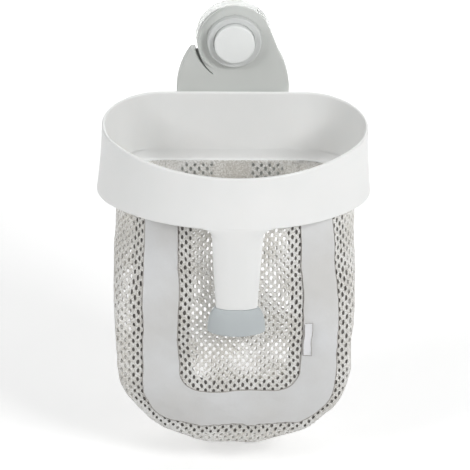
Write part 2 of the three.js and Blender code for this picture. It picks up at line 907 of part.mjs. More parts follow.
function arcPoints(cx, cz, radius_x, radius_z, from, to, steps) {
  const points = [];
  for (let i = 0; i <= steps; i++) {
    const angle = mix(from, to, i / steps);
    points.push(new THREE.Vector2(cx + radius_x * Math.cos(angle), cz + radius_z * Math.sin(angle)));
  }
  return points;
}

function plateShape(inset, round_top) {
  const half = dome_half_width - inset;
  const height = dome_height - inset;
  const bottom = -plate_bottom_drop + inset;
  const notch = window_half_width + inset;
  const corner = plate_corner_radius - inset;
  const lobe_top = -lobe_top_drop - inset;
  const lobe_angle = Math.asin((lobe_top + dome_drop) / height);
  const bar_bottom = -bar_top_drop - bar_height + inset;
  const quarter = Math.PI / 2;
  const foot = (x, z, radius, from, to) => arcPoints(x, z, radius, radius, from, to, corner_steps);
  const top = round_top ? roundTop(half, height, plate_circle_radius - inset)
    : arcPoints(0, -dome_drop, half, height, 0, lobe_angle, dome_steps);
  return new THREE.Shape([
    ...arcPoints(0, -dome_drop, half, height, Math.PI - lobe_angle, Math.PI, dome_steps),
    ...foot(-half + corner, bottom + corner, corner, 2 * quarter, 3 * quarter),
    ...foot(-notch - notch_radius, bottom + notch_radius, notch_radius, 3 * quarter, 4 * quarter),
    ...foot(-notch + notch_radius, bar_bottom - notch_radius, notch_radius, 2 * quarter, quarter),
    ...foot(notch - notch_radius, bar_bottom - notch_radius, notch_radius, quarter, 0),
    ...foot(notch + notch_radius, bottom + notch_radius, notch_radius, 2 * quarter, 3 * quarter),
    ...foot(half - corner, bottom + corner, corner, 3 * quarter, 4 * quarter),
    ...top,
  ]);
}

// From the dome's right side over the shoulder, round the circle and down to the lobe on the left
function roundTop(half, height, circle) {
  const dome_angle = THREE.MathUtils.degToRad(shoulder_dome_angle);
  const circle_angle = THREE.MathUtils.degToRad(shoulder_circle_angle);
  const dome = arcPoints(0, -dome_drop, half, height, 0, dome_angle, dome_steps);
  const end_angle = Math.PI + Math.asin(lobe_top_drop / circle);
  const round = arcPoints(0, 0, circle, circle, circle_angle, end_angle, circle_steps);
  const along = new THREE.Vector2(-half * Math.sin(dome_angle), height * Math.cos(dome_angle)).normalize();
  const arrive = new THREE.Vector2(-Math.sin(circle_angle), Math.cos(circle_angle));
  const from = dome[dome.length - 1];
  const first = from.clone().addScaledVector(along, shoulder_reach);
  const second = round[0].clone().addScaledVector(arrive, -shoulder_reach);
  const shoulder = new THREE.CubicBezierCurve(from, first, second, round[0]).getPoints(dome_steps);
  return [...dome, ...shoulder.slice(1, -1), ...round];
}

// The crescent groove that runs down from the lobe along the circle and fades out
function grooveSolid() {
  const inner = [];
  const outer = [];
  for (let i = 0; i <= groove_steps; i++) {
    const share = i / groove_steps;
    const angle = THREE.MathUtils.degToRad(mix(groove_from_angle, groove_to_angle, share));
    const radius = plate_circle_radius + groove_drift * share ** groove_drift_power;
    const width = groove_width * (1 - groove_taper * share);
    inner.push([radius * Math.cos(angle), radius * Math.sin(angle)]);
    outer.push([(radius + width) * Math.cos(angle), (radius + width) * Math.sin(angle)]);
  }
  const shape = new THREE.Shape([...inner, ...outer.reverse()].map(([x, z]) => new THREE.Vector2(x, z)));
  return plate(shape, plate_out_front - groove_depth, plate_out_front + overrun);
}

const carrier_foot_out = ring_out_front - ring_lip_thick - fit_gap;
const pocket_out = carrier_foot_out - carrier_foot_thick - button_travel - fit_gap;
const pocket_floor_out = pocket_out - pocket_floor_thick;
const plate_back = plate_out_front - plate_thick;
const pad_place = { x: dome_half_width - pad_inset, z: -plate_bottom_drop + pad_inset };

function cupOutAt(radius) {
  const share = (cup_lip_radius - radius) / (cup_lip_radius - cup_boss_radius);
  return mix(cup_lip_thick, cup_shoulder_out, share);
}

// Hub behind the plate: the pocket for the button and the ring that bears on the suction cup
function hubSolid() {
  const press_inner = press_ring_radius - press_ring_wall;
  const outer = pocket_radius + pocket_wall;
  const pocket = turned(closedProfile([[stud_radius + fit_gap, pocket_floor_out], [outer, pocket_floor_out],
    [outer, plate_out_front], [pocket_radius, plate_out_front], [pocket_radius, pocket_out],
    [stud_radius + fit_gap, pocket_out]]));
  const press_ring = turned(closedProfile([[press_inner, cupOutAt(press_inner) + fit_gap],
    [press_ring_radius, cupOutAt(press_inner) + fit_gap], [press_ring_radius, plate_back + overrun],
    [press_inner, plate_back + overrun]]));
  return join(pocket, press_ring);
}

// The silver ring is staked to the plate by pins in these places
function ringStakes(radius, out_low, out_high) {
  const stakes = [];
  for (let i = 0; i < ring_stake_count; i++) {
    const angle = Math.PI / 2 + 2 * Math.PI * i / ring_stake_count;
    stakes.push(at(disc(radius, out_low, out_high, screw_segments),
      ring_stake_circle * Math.cos(angle), ring_stake_circle * Math.sin(angle)));
  }
  return stakes;
}

function addBracketPlate() {
  const front = plate(plateShape(0, true), plate_back, plate_out_front, plate_bevel);
  const tray = cut(plate(plateShape(0, false), skirt_out, plate_back + overrun),
    plate(plateShape(skirt_thick, false), skirt_out - overrun, plate_back + 2 * overrun),
    disc(cup_lip_radius + pocket_wall, 0, plate_back + 2 * overrun, round_segments));
  const rib_out = [skirt_out, plate_back + overrun];
  const ribs = [-1, 1].map((side) => {
    const inner = window_half_width + plate_rib_thick;
    const edges = [side * inner, side * (inner + plate_rib_thick)];
    const heights = [-bar_top_drop - bar_height, -window_top_drop];
    return block(Math.min(...edges), Math.max(...edges), ...rib_out, ...heights);
  });
  const bosses = [-1, 1].map((side) => (
    at(disc(pad_stem_radius + fit_gap + pad_boss_wall, pad_thick + fit_gap, plate_back + overrun),
      side * pad_place.x, pad_place.z)));
  const pad_holes = [-1, 1].map((side) => (
    at(disc(pad_stem_radius + fit_gap, 0, pad_thick + pad_stem_length + fit_gap),
      side * pad_place.x, pad_place.z)));
  const hook_window = block(-window_half_width, window_half_width, 0, plate_out_front + overrun,
    -bar_top_drop, -window_top_drop);
  const button_hole = disc(pocket_radius + pocket_wall / 2, plate_back - overrun, plate_out_front + overrun,
    round_segments);
  const body = join(cut(front, button_hole), tray, ...ribs, ...bosses, hubSolid());
  const sockets = ringStakes(ring_stake_radius + fit_gap, plate_back - fit_gap, plate_out_front + overrun);
  addPiece('bracket_plate', cut(body, hook_window, grooveSolid(), ...pad_holes, ...sockets), grey_plastic);
}

function addWallPads() {
  for (const [name, side] of [['wall_pad_left', -1], ['wall_pad_right', 1]]) {
    const stem = disc(pad_stem_radius, pad_thick / 2, pad_thick + pad_stem_length);
    const pad = join(disc(pad_radius, 0, pad_thick), stem);
    addPiece(name, at(pad, side * pad_place.x, pad_place.z), soft_grey);
  }
}

function addKnobRing() {
  const base = plate_out_front + fit_gap;
  const lip_back = ring_out_front - ring_lip_thick;
  const ring = turned(closedProfile([[ring_base_radius, base], [ring_base_radius, base + fit_gap],
    [ring_front_radius + ring_bevel / 2, ring_out_front - ring_bevel / 2],
    [ring_front_radius, ring_out_front], [ring_bore_radius + ring_bevel, ring_out_front],
    [ring_bore_radius, ring_out_front - ring_bevel / 2],
    [ring_bore_radius, lip_back], [pocket_radius, lip_back], [pocket_radius, base]]));
  const stakes = ringStakes(ring_stake_radius, plate_back, base + overrun);
  addPiece('knob_ring', join(ring, ...stakes), silver_plastic);
}

// Button: a cap on a carrier, with the stud held in the carrier by a nut

const carrier_wall_radius = button_radius - cap_wall - fit_gap;
const cap_inside = button_out_front - cap_thick - button_crown;
const carrier_web_front = carrier_web_out + carrier_web_thick;

function addButton() {
  const cap_back = carrier_foot_out + fit_gap;
  const cap_inner = button_radius - cap_wall;
  const cap = turned([[0, cap_inside], [cap_inner, cap_inside], [cap_inner, cap_back],
    [button_radius, cap_back], [button_radius, button_out_front - button_crown - button_edge],
    [button_radius - button_edge / 3, button_out_front - button_crown - button_edge / 3],
    [button_radius - button_edge, button_out_front - button_crown],
    [button_radius / 2, button_out_front - button_crown / 4], [0, button_out_front]]);
  addPiece('button_cap', cap, white_plastic);
  const foot_back = carrier_foot_out - carrier_foot_thick;
  const inner = carrier_wall_radius - carrier_wall;
  const carrier = turned(closedProfile([[inner, foot_back], [carrier_foot_radius, foot_back],
    [carrier_foot_radius, carrier_foot_out], [carrier_wall_radius, carrier_foot_out],
    [carrier_wall_radius, cap_inside - fit_gap], [inner, cap_inside - fit_gap], [inner, carrier_web_front],
    [stud_radius + fit_gap, carrier_web_front], [stud_radius + fit_gap, carrier_web_out],
    [inner, carrier_web_out]]));
  addPiece('button_carrier', carrier, white_plastic);
}

function addStud() {
  const flange_back = cup_hollow + cup_skin + fit_gap;
  const nut_back = carrier_web_front + fit_gap;
  const tip = nut_back + nut_thick;
  const flange = disc(stud_flange_radius, flange_back, flange_back + stud_flange_thick, round_segments);
  addPiece('stud', join(flange, disc(stud_radius, flange_back + stud_flange_thick / 2, tip)), steel);
  const nut = cut(disc(nut_radius, nut_back, tip - fit_gap, nut_sides),
    disc(stud_radius + fit_gap, nut_back - overrun, tip + overrun));
  addPiece('stud_nut', nut, steel);
}

// Suction cup: a thin bell with a flat lip, a boss round the stud's flange, and a pull tab

function addSuctionCup() {
  const hole = stud_radius + fit_gap;
  const cavity = stud_flange_radius + fit_gap;
  const cavity_back = cup_hollow + cup_skin;
  const cavity_front = cavity_back + stud_flange_thick + 2 * fit_gap;
  const lip_edge = cup_lip_thick / 2;
  const bell = turned([[0, cup_hollow], [cup_boss_radius, cup_hollow], [cup_lip_radius - cup_lip_flat, 0],
    [cup_lip_radius, 0], [cup_lip_radius, lip_edge], [cup_lip_radius - lip_edge, cup_lip_thick],
    [cup_boss_radius, cup_shoulder_out], [cup_boss_radius, cup_boss_out], [hole, cup_boss_out],
    [hole, cavity_front], [cavity, cavity_front], [cavity, cavity_back], [0, cavity_back]]);
  const low = cup_lip_radius - tab_thick;
  const tab_shape = new THREE.Shape();
  const from = THREE.MathUtils.degToRad(tab_angle - tab_half_angle);
  const to = THREE.MathUtils.degToRad(tab_angle + tab_half_angle);
  tab_shape.absarc(0, 0, cup_lip_radius - cup_lip_thick / 2, from, to, false);
  tab_shape.absarc(0, 0, low - cup_lip_thick / 2, to, from, true);
  tab_shape.closePath();
  const tab = plate(tab_shape, cup_lip_thick / 3, tab_out);
  addPiece('suction_cup', join(bell, tab), clear_rubber);
}

// Spring: one unbroken coil between the pocket's floor and the carrier's web

function springPath() {
  const low = pocket_out + spring_wire / 2 + fit_gap;
  const high = carrier_web_out - spring_wire / 2 - fit_gap;
  const steps = spring_curls * spring_steps;
  const path = [];
  for (let i = 0; i <= steps; i++) {
    const angle = 2 * Math.PI * i / spring_steps;
    const out = mix(low, high, i / steps);
    path.push(point(spring_radius * Math.cos(angle), out, spring_radius * Math.sin(angle)));
  }
  return path;
}

function leastGap(path) {
  let least = Infinity;
  for (let i = 0; i < path.length; i++) {
    for (let j = i + spring_steps / 2; j < path.length; j++) {
      least = Math.min(least, path[i].distanceTo(path[j]));
    }
  }
  return least - spring_wire;
}

function addSpring() {
  const path = springPath();
  const up = new THREE.Vector3(0, 1, 0);
  const loops = path.map((p) => {
    const radial = new THREE.Vector3(p.x, 0, p.z).normalize();
    const loop = [];
    for (let k = 0; k < spring_sides; k++) {
      const angle = 2 * Math.PI * k / spring_sides;
      loop.push(p.clone().addScaledVector(radial, spring_wire / 2 * Math.cos(angle))
        .addScaledVector(up, spring_wire / 2 * Math.sin(angle)));
    }
    return loop;
  });
  addPiece('button_spring', stackSolid(loops), steel);
  console.log(`button_spring: least gap between curls ${leastGap(path).toFixed(2)} mm`);
}

addSuctionCup();
addBracketPlate();
addWallPads();
addKnobRing();
addSpring();
addButton();
addStud();
addRimShell();
addHandleCover();
addGripEnd();
addBagHoldDown();
addBag();
addBand();

export default organizer;
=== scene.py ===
import math

import bmesh
import bpy
import numpy as np
from mathutils import Matrix, Vector


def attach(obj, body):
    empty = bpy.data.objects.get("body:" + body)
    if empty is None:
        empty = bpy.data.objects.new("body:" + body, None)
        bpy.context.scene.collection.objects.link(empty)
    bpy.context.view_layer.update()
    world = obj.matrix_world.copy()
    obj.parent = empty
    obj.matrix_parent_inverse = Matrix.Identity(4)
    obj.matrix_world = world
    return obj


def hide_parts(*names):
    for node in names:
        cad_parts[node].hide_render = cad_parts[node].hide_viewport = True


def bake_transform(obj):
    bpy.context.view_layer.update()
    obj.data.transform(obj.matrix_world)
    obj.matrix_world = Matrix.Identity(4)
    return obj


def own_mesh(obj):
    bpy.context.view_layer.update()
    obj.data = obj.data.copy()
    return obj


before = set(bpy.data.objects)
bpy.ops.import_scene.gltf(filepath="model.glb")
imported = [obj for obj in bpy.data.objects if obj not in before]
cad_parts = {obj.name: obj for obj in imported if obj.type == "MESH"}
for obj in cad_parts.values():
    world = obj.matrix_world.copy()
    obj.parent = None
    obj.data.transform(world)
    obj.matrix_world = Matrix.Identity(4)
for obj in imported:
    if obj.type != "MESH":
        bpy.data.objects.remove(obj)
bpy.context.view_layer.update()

# Sizes are in millimetres from the suction cup's centre: x to the right, out from the wall, z up, and a drop
# is a distance below it
MM = 0.001
FLIP = np.array([MM, -MM, MM])


def mix(a, b, share):
    return a + (b - a) * share


def smooth(share):
    s = np.clip(share, 0, 1)
    return s * s * (3 - 2 * s)


def spaced(start, end, steps):
    """Angles in radians, evenly spaced between two in degrees."""
    return np.radians(np.linspace(start, end, steps))


def circle(steps):
    return np.linspace(0, 2 * math.pi, steps, endpoint=False)


def rounding(radius, start, end, steps):
    """The sine and cosine, times a radius, at each step round a corner."""
    return [(radius * math.sin(a), radius * math.cos(a)) for a in spaced(start, end, steps)]


def about_axis(radius, out, angles):
    """Points about the button's axis."""
    return np.stack([radius * np.cos(angles), np.full(len(angles), out), radius * np.sin(angles)], -1)


# Meshes

MERGE_BELOW, NO_LENGTH = 2e-6, 1e-6
TUBE_STEPS = 10


def grid_faces(rows, columns, wrap_rows=False, wrap_columns=False):
    faces = []
    for i in range(rows if wrap_rows else rows - 1):
        for j in range(columns if wrap_columns else columns - 1):
            k = (j + 1) % columns
            n = (i + 1) % rows
            faces.append((i * columns + j, i * columns + k, n * columns + k, n * columns + j))
    return faces


def loft(loops):
    """Closed loops as the skin of a ring, the last joined to the first."""
    return np.concatenate(loops), grid_faces(len(loops), len(loops[0]), True, True)


def stack(loops):
    """Closed loops one above another as a bar with two closed ends."""
    loops = np.asarray(loops)
    rows, columns = loops.shape[:2]
    points = np.concatenate([loops.reshape(-1, 3), [loops[0].mean(0), loops[-1].mean(0)]])
    faces = grid_faces(rows, columns, wrap_columns=True)
    top, bottom = rows * columns, rows * columns + 1
    for j in range(columns):
        k = (j + 1) % columns
        faces.append((k, j, top))
        faces.append(((rows - 1) * columns + j, (rows - 1) * columns + k, bottom))
    return points, faces


def lathe(profile, steps=128):
    """A turned form about the button's axis, from (radius, out) pairs."""
    angles = circle(steps)
    loops = [about_axis(radius, out, angles) for radius, out in np.asarray(profile, float)]
    return np.concatenate(loops), grid_faces(len(profile), steps, wrap_columns=True)


def arc(centre, radius, start, end, steps):
    return [(centre[0] + across, centre[1] + out) for out, across in rounding(radius, start, end, steps)]


def tube_loop(centre, radius, side, up):
    angles = circle(TUBE_STEPS)
    return centre + radius * (np.cos(angles)[:, None] * side + np.sin(angles)[:, None] * up)


def add_object(name, mesh):
    piece = bpy.data.objects.new(name, mesh)
    bpy.context.scene.collection.objects.link(piece)
    return piece


def add_shape(name, points, faces):
    """An object from points in millimetres, with doubles merged and faces turned outwards."""
    mesh = bpy.data.meshes.new(name)
    mesh.from_pydata((np.asarray(points, float) * FLIP).tolist(), [], [tuple(map(int, f)) for f in faces])
    bm = bmesh.new()
    bm.from_mesh(mesh)
    bmesh.ops.remove_doubles(bm, verts=bm.verts, dist=MERGE_BELOW)
    bmesh.ops.dissolve_degenerate(bm, edges=bm.edges, dist=NO_LENGTH)
    bmesh.ops.recalc_face_normals(bm, faces=bm.faces)
    bm.to_mesh(mesh)
    bm.free()
    return add_object(name, mesh)


def apply_modifiers(piece):
    depsgraph = bpy.context.evaluated_depsgraph_get()
    mesh = bpy.data.meshes.new_from_object(piece.evaluated_get(depsgraph))
    piece.modifiers.clear()
    piece.data = mesh


def thicken(piece, thickness):
    solidify = piece.modifiers.new("thickness", "SOLIDIFY")
    solidify.thickness = thickness * MM
    solidify.offset = 0
    apply_modifiers(piece)


def cut_from(piece, points, faces):
    tool = add_shape("tool", points, faces)
    modifier = piece.modifiers.new("cut", "BOOLEAN")
    modifier.operation = "DIFFERENCE"
    modifier.solver = "EXACT"
    modifier.object = tool
    apply_modifiers(piece)
    bpy.data.objects.remove(tool)


def dress(piece, material, body, replaced=(), sharp=40):
    """Give a piece its material, its body and the nodes it stands for.

    On the real cup the lip stays on the wall and the middle goes in with the button; here a piece of the
    body "cup" gets its place baked into its mesh and hangs from no body.
    """
    piece.data.materials.clear()
    piece.data.materials.append(material)
    piece.data.shade_smooth()
    piece.data.set_sharp_from_angle(angle=math.radians(sharp))
    if body == "cup":
        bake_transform(piece)
    else:
        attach(piece, body)
    if replaced:
        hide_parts(*replaced)


# The rim's outlines

RIM = dict(half_width=129.0, back=18.2, front=172.2, end_radius=60.0)
OPENING = dict(half_width=118.0, back=24.0, front=159.7, end_radius=52.0)
RIM_DEPTH = RIM["front"] - RIM["back"]
RIM_BOTTOM = -130.5
RIM_TOP_DROP = 52.8
FRONT_DROP = 20.0
FRONT_RISE = 5.1
WALL = 3.0
FLARE = 5.0
FLARE_POWER = 1.65
FLARE_LIFT = 62
LEDGE = 2.5
HEM_LIFT = LEDGE + 0.3
FRAME_LIFT = HEM_LIFT + 1.3

# Steps along half an outline
FLAT_STEPS, END_STEPS, FRONT_STEPS = 16, 40, 52


def front_shift(shape):
    """How far out from a D's flat back the centre of its wide front arc lies."""
    radius = shape["end_radius"]
    end_x = shape["half_width"] - radius
    reach = shape["front"] - shape["back"] - radius
    return (reach ** 2 - end_x ** 2 - radius ** 2) / (2 * (reach - radius))


def d_outline(shape, offset_at):
    """A D as (x, out) points, each moved by offset_at of how far out it faces, from -1 to 1."""
    back, radius = shape["back"], shape["end_radius"]
    depth = shape["front"] - back
    end_x = shape["half_width"] - radius
    shift = front_shift(shape)
    join = math.atan2(radius - shift, end_x)
    x = end_x * np.arange(FLAT_STEPS) / FLAT_STEPS
    flat = np.stack([x, np.full(FLAT_STEPS, back) - offset_at(np.full(FLAT_STEPS, -1.0))], -1)

    def turn(centre_x, centre_out, size, angles):
        grown = size + offset_at(np.sin(angles))
        return np.stack([centre_x + grown * np.cos(angles), centre_out + grown * np.sin(angles)], -1)

    end = turn(end_x, back + radius, radius, np.linspace(-math.pi / 2, join, END_STEPS + 1))
    wide = turn(0, back + shift, depth - shift, np.linspace(join, math.pi / 2, FRONT_STEPS + 1)[1:])
    half = np.concatenate([flat, end, wide])
    return np.concatenate([half, half[1:-1][::-1] * [-1, 1]])


def evenly(offset):
    return lambda facing: np.full(np.shape(facing), float(offset))


def depth_share(out):
    return (out - RIM["back"]) / RIM_DEPTH


def rim_top(out):
    return -RIM_TOP_DROP - FRONT_DROP * depth_share(out)


def rim_bottom(out):
    return RIM_BOTTOM + FRONT_RISE * np.maximum(0, depth_share(out)) ** 3


FRONT_BOTTOM = float(rim_bottom(RIM["front"]))
FRONT_HEIGHT = float(rim_top(RIM["front"])) - FRONT_BOTTOM
RIM_OUT_FRONT = RIM["front"] + FLARE


def rim_loop(height_share, lift, inset):
    """A loop round the flared wall, at a share of its height plus a lift, inset from its outer face."""
    grown = FLARE * max(0.0, 1 - height_share - lift / FLARE_LIFT) ** FLARE_POWER
    flat = d_outline(RIM, lambda facing: grown * (1 - np.maximum(0, -facing) ** 2) - inset)
    x, out = flat[:, 0], flat[:, 1]
    return np.stack([x, out, mix(rim_bottom(out), rim_top(out), height_share) + lift], -1)


def opening_loop(offset, lift):
    """A loop round the ledge's opening, widened by an offset, above the rim's lower edge by a lift."""
    flat = d_outline(OPENING, evenly(offset))
    return np.stack([flat[:, 0], flat[:, 1], rim_bottom(flat[:, 1]) + lift], -1)


def rim_face_out(x, z):
    """How far out the rim's outer face stands at its front."""
    shift = front_shift(RIM)
    height_share = np.clip((z - FRONT_BOTTOM) / FRONT_HEIGHT, 0, 1)
    radius = RIM_DEPTH - shift + FLARE * (1 - height_share) ** FLARE_POWER
    return RIM["back"] + shift + np.sqrt(np.maximum(0, radius ** 2 - x ** 2))


def between(first, last, count):
    return [mix(first, last, i / (count + 1)) for i in range(1, count + 1)]


def build_rim(material):
    """The wall with its rounded edges, and the ledge with its rounded lip."""
    foot, inner, edge, lip = 1.7, 2.2, WALL / 2, 0.6
    low_share, high_share = 0.05, 0.93
    loops = [rim_loop(0, foot - c, foot - s) for s, c in rounding(foot, 0, 90, 8)]
    loops += [rim_loop(share, 0, 0) for share in np.linspace(low_share, high_share, 24)]
    loops += [rim_loop(1, s - edge, edge - c) for s, c in rounding(edge, 0, 180, 15)]
    loops += [rim_loop(share, 0, WALL) for share in np.linspace(high_share, 0.1, 22)]
    loops += [rim_loop(0, LEDGE + inner * (1 - s), WALL + inner * (1 - c)) for s, c in rounding(1, 0, 90, 7)]
    loops += between(loops[-1], opening_loop(lip, LEDGE), 3)
    loops += [opening_loop(lip - s, LEDGE - lip + c) for s, c in rounding(lip, 0, 90, 5)]
    loops += [opening_loop(lip - c, lip - s) for s, c in rounding(lip, 0, 90, 5)]
    loops += between(loops[-1], loops[0], 3)
    dress(add_shape("rim_ring", *loft(loops)), material, "scoop", ["rim_shell"])


def build_frame_ring(material):
    """The clamping frame that lies on the bag's hem inside the rim and curves up its wall."""
    low, edge, high = FRAME_LIFT, FRAME_LIFT + 0.9, FRAME_LIFT + 12
    nose, gap, chamfer = 0.5, 0.1, 0.4
    loops = [rim_loop(0, lift, WALL + gap) for lift in (low, mix(low, high, 0.5), high - 0.2)]
    loops.append(rim_loop(0, high, WALL + 0.2))
    wall, end = rim_loop(0, 0, WALL + 0.25), opening_loop(nose, 0)
    for share in np.linspace(0, 1, 14):
        loops.append(mix(wall, end, share ** 1.2) + [0, 0, mix(edge, high, (1 - share) ** 2.6)])
    loops += [opening_loop(nose - s, edge - nose + c) for s, c in rounding(nose, 25, 90, 4)]
    loops += [opening_loop(0, low + chamfer), opening_loop(chamfer, low)]
    dress(add_shape("clamp_frame_ring", *loft(loops)), material, "scoop", ["bag_frame"])


# Handle, grip and hook

SEAM_DROP = 210.3
FILLET = 8.5

# The handle's width and thickness at the rim and at the seam, and how much further out the seam is
HANDLE_WIDTHS = (50.0, 40.0)
HANDLE_THICKS = (14.0, 11.5)
HANDLE_OUT = 2.0

HANDLE_POWER, HANDLE_CROWN = 0.34, 4.5
SECTION_STEPS = 96

# The grip's outline, as shares of its length and of its flare
GRIP_FLARES = np.array([[0, 0.03], [0.07, 0.25], [0.155, 0.44], [0.29, 0.65], [0.42, 0.79], [0.6, 0.91],
                        [0.78, 0.97], [1, 1]])

# The hook's arm, its tongue and two ribs: x, out and z, each from and to
HOOK_BOXES = [(-14, 14, 8.4, 19.7, -103.7, -84), (-14, 14, 8.4, 11.4, -124, -84),
              (-14, -11, 15.3, 19.7, -124, -101), (11, 14, 15.3, 19.7, -124, -101)]


def handle_at(drop):
    """The handle's half width, how far out its front stands, and its thickness."""
    below = drop + FRONT_BOTTOM
    share = max(0.0, below / (SEAM_DROP + FRONT_BOTTOM))
    rise = min(max(0.0, FILLET - below), FILLET)
    fillet = FILLET - math.sqrt(FILLET ** 2 - rise ** 2)
    half_width = mix(*HANDLE_WIDTHS, share) / 2 + fillet
    return half_width, RIM_OUT_FRONT + HANDLE_OUT * share, mix(*HANDLE_THICKS, share)


def rounded_section(half_width, front, thick, drop, inset, power, crown):
    """A level section with a crowned front, and how near the front each of its points is."""
    angle = 2 * math.pi * (np.arange(SECTION_STEPS) + 0.5) / SECTION_STEPS
    across = np.sign(np.cos(angle)) * np.abs(np.cos(angle)) ** power
    deep = np.sign(np.sin(angle)) * np.abs(np.sin(angle)) ** power
    out = front - thick / 2 + deep * (thick / 2 - inset) - crown * across ** 2 * (1 + deep) / 2
    return np.stack([across * (half_width - inset), out, np.full(SECTION_STEPS, -drop)], -1), deep


def leaned(loop):
    """The handle and its grip lean a little to the right towards the grip's end."""
    shift, first, over = 1.3, 125, 112
    loop[:, 0] += shift * np.clip((-loop[:, 2] - first) / over, 0, 1) ** 2
    return loop


def handle_loop(drop, inset=0.0):
    """A section of the handle, which lies on the rim's face and leaves it below the rim's lower edge."""
    free_over, thick_on_rim, thick_below, thickens = 14.0, 2.6, 5.0, 9.0
    proud, sunk, sinks_from, sinks_over = 0.06, 0.7, 3.0, 5.0
    half_width, front, thick = handle_at(drop)
    loop, deep = rounded_section(half_width, front, thick, drop, inset, HANDLE_POWER, HANDLE_CROWN)
    above = -drop - FRONT_BOTTOM
    share = float(smooth(-above / free_over))
    root_thick = thick_below + thickens * share if above < 0 else thick_on_rim
    sink = sunk * float(smooth((above - sinks_from) / sinks_over)) - proud
    on_rim = rim_face_out(loop[:, 0], np.full(len(loop), max(-drop, FRONT_BOTTOM))) - sink
    flush = on_rim - (1 - deep) / 2 * min(thick, root_thick)
    loop[:, 1] = mix(flush, loop[:, 1], share)
    return leaned(loop)


def channel_loops():
    """The channel in the handle's back, which the cover closes."""
    border, past, depth = 2.4, 1, 5.75
    loops = []
    for share in np.linspace(0, 1, 13):
        drop = mix(-FRONT_BOTTOM + border, SEAM_DROP - border, share)
        half_width, front, thick = handle_at(drop)
        side = half_width - border
        low, high = front - thick - past, front - thick + depth
        loops.append([(-side, low, -drop), (side, low, -drop), (side, high, -drop), (-side, high, -drop)])
    return loops


def build_handle(material):
    root, corner = -FRONT_BOTTOM, 0.8
    end = SEAM_DROP - corner
    drops = list(np.linspace(root - 9, root, 10)[:-1])
    drops += [root + (end - root) * share ** 1.7 for share in np.linspace(0, 1, 46)]
    loops = [handle_loop(drop) for drop in drops]
    loops += [handle_loop(end + s, corner - c) for s, c in rounding(corner, 15, 90, 6)]
    piece = add_shape("handle_grip_bar", *stack(loops))
    cut_from(piece, *stack(channel_loops()))
    dress(piece, material, "scoop", ["rim_shell"], sharp=35)


def build_grip(material):
    """The soft boot on the handle's end, which flares below the seam."""
    half_width, front, thick = handle_at(SEAM_DROP)
    top, length, top_round, end_round, blur = SEAM_DROP + 0.3, 26.4, 0.7, 1.6, 0.06
    wider, further, thicker = 8.1, 5, 9
    loops = []
    for share in np.concatenate([np.linspace(0, 0.93, 40), np.linspace(0.94, 1, 8)]):
        near = np.linspace(max(0.0, share - blur), min(1.0, share + blur), 7)
        flare = float(np.interp(near, GRIP_FLARES[:, 0], GRIP_FLARES[:, 1]).mean())
        start = max(0.0, 1 - share * length / top_round)
        end = max(0.0, 1 - (1 - share) * length / end_round)
        inset = top_round * (1 - math.sqrt(1 - start ** 2)) + end_round * (1 - math.sqrt(1 - end ** 2))
        power, crown = mix(0.36, 0.5, flare), mix(HANDLE_CROWN, 8.0, flare)
        loop, _ = rounded_section(half_width + wider * flare, front + further * flare,
                                  thick + thicker * flare, top + length * share, inset, power, crown)
        loops.append(leaned(loop))
    piece = add_shape("soft_grip_boot", *stack(loops))
    dress(piece, material, "scoop", ["grip_end"], sharp=50)


def build_hook(material):
    """The arm, tongue and ribs on the back of the rim."""
    bm = bmesh.new()
    for x0, x1, out0, out1, z0, z1 in HOOK_BOXES:
        size = Vector((x1 - x0, out1 - out0, z1 - z0)) * MM
        middle = Vector(((x0 + x1) / 2, -(out0 + out1) / 2, (z0 + z1) / 2)) * MM
        placed = Matrix.Translation(middle) @ Matrix.Diagonal((*size, 1))
        made = bmesh.ops.create_cube(bm, size=1, matrix=placed)
        edges = list({e for v in made["verts"] for e in v.link_edges})
        bmesh.ops.bevel(bm, geom=edges, offset=0.6 * MM, segments=3, affect="EDGES", profile=0.5)
    mesh = bpy.data.meshes.new("rim_hook")
    bm.to_mesh(mesh)
    bm.free()
    dress(add_object("rim_hook", mesh), material, "scoop", ["rim_shell"])


# The bag's form

BAG_TOP = 126.0
BAG_DROP = 379.5
BLEND_HEIGHT = 150.0
CORNER_HEIGHT = 104.0
CORNER_TOP = BAG_DROP - CORNER_HEIGHT
CORNER_POWER = 2.3
LOWEST_ANGLE = 89.4
BAG_HALF, BAG_SWELL = 115.5, 2.0
BAG_EDGE_OUT = 145.0
BAG_BACK_OUT = 30.0
BULGE = 12.0
GUSSET_SAG = 5.0
PANEL_ROWS, PANEL_COLUMNS = 60, 97
GUSSET_COLUMNS, SEAM_ROWS = 41, 90

# How far the cloth hangs to the right at each drop, and its left edge tucks in under the rim
SHIFT_DROPS = [128, 152, 192, 240, 261, 288, 314, 341, 361, 374, 390]
SHIFTS = [0.8, 0.9, 0.8, 0.4, 0.5, 1.4, 2.7, 4.0, 4.0, 2.0, 0.5]
TUCK_DROPS = [128, 142, 165, 190]
TUCKS = [0, 2.6, 2.0, 0]
TUCK_FROM = 55

# The ripples' wavelength, seed and size, and where they set in
RIPPLES = ((85, 3, 2.4), (30, 8, 0.7))
RIPPLES_FROM, RIPPLES_OVER = 131, 60


def corner_share(drop):
    return np.clip((drop - CORNER_TOP) / CORNER_HEIGHT, 0, 1)


def bag_width(drop):
    """The bag's half width: its sides swell a little, and its round corners meet at the bottom."""
    straight = np.clip((drop - BAG_TOP) / (CORNER_TOP - BAG_TOP), 0, 1)
    swell = BAG_SWELL * np.sin(math.pi * straight)
    return (BAG_HALF + swell) * np.maximum(0, 1 - corner_share(drop) ** CORNER_POWER) ** (1 / CORNER_POWER)


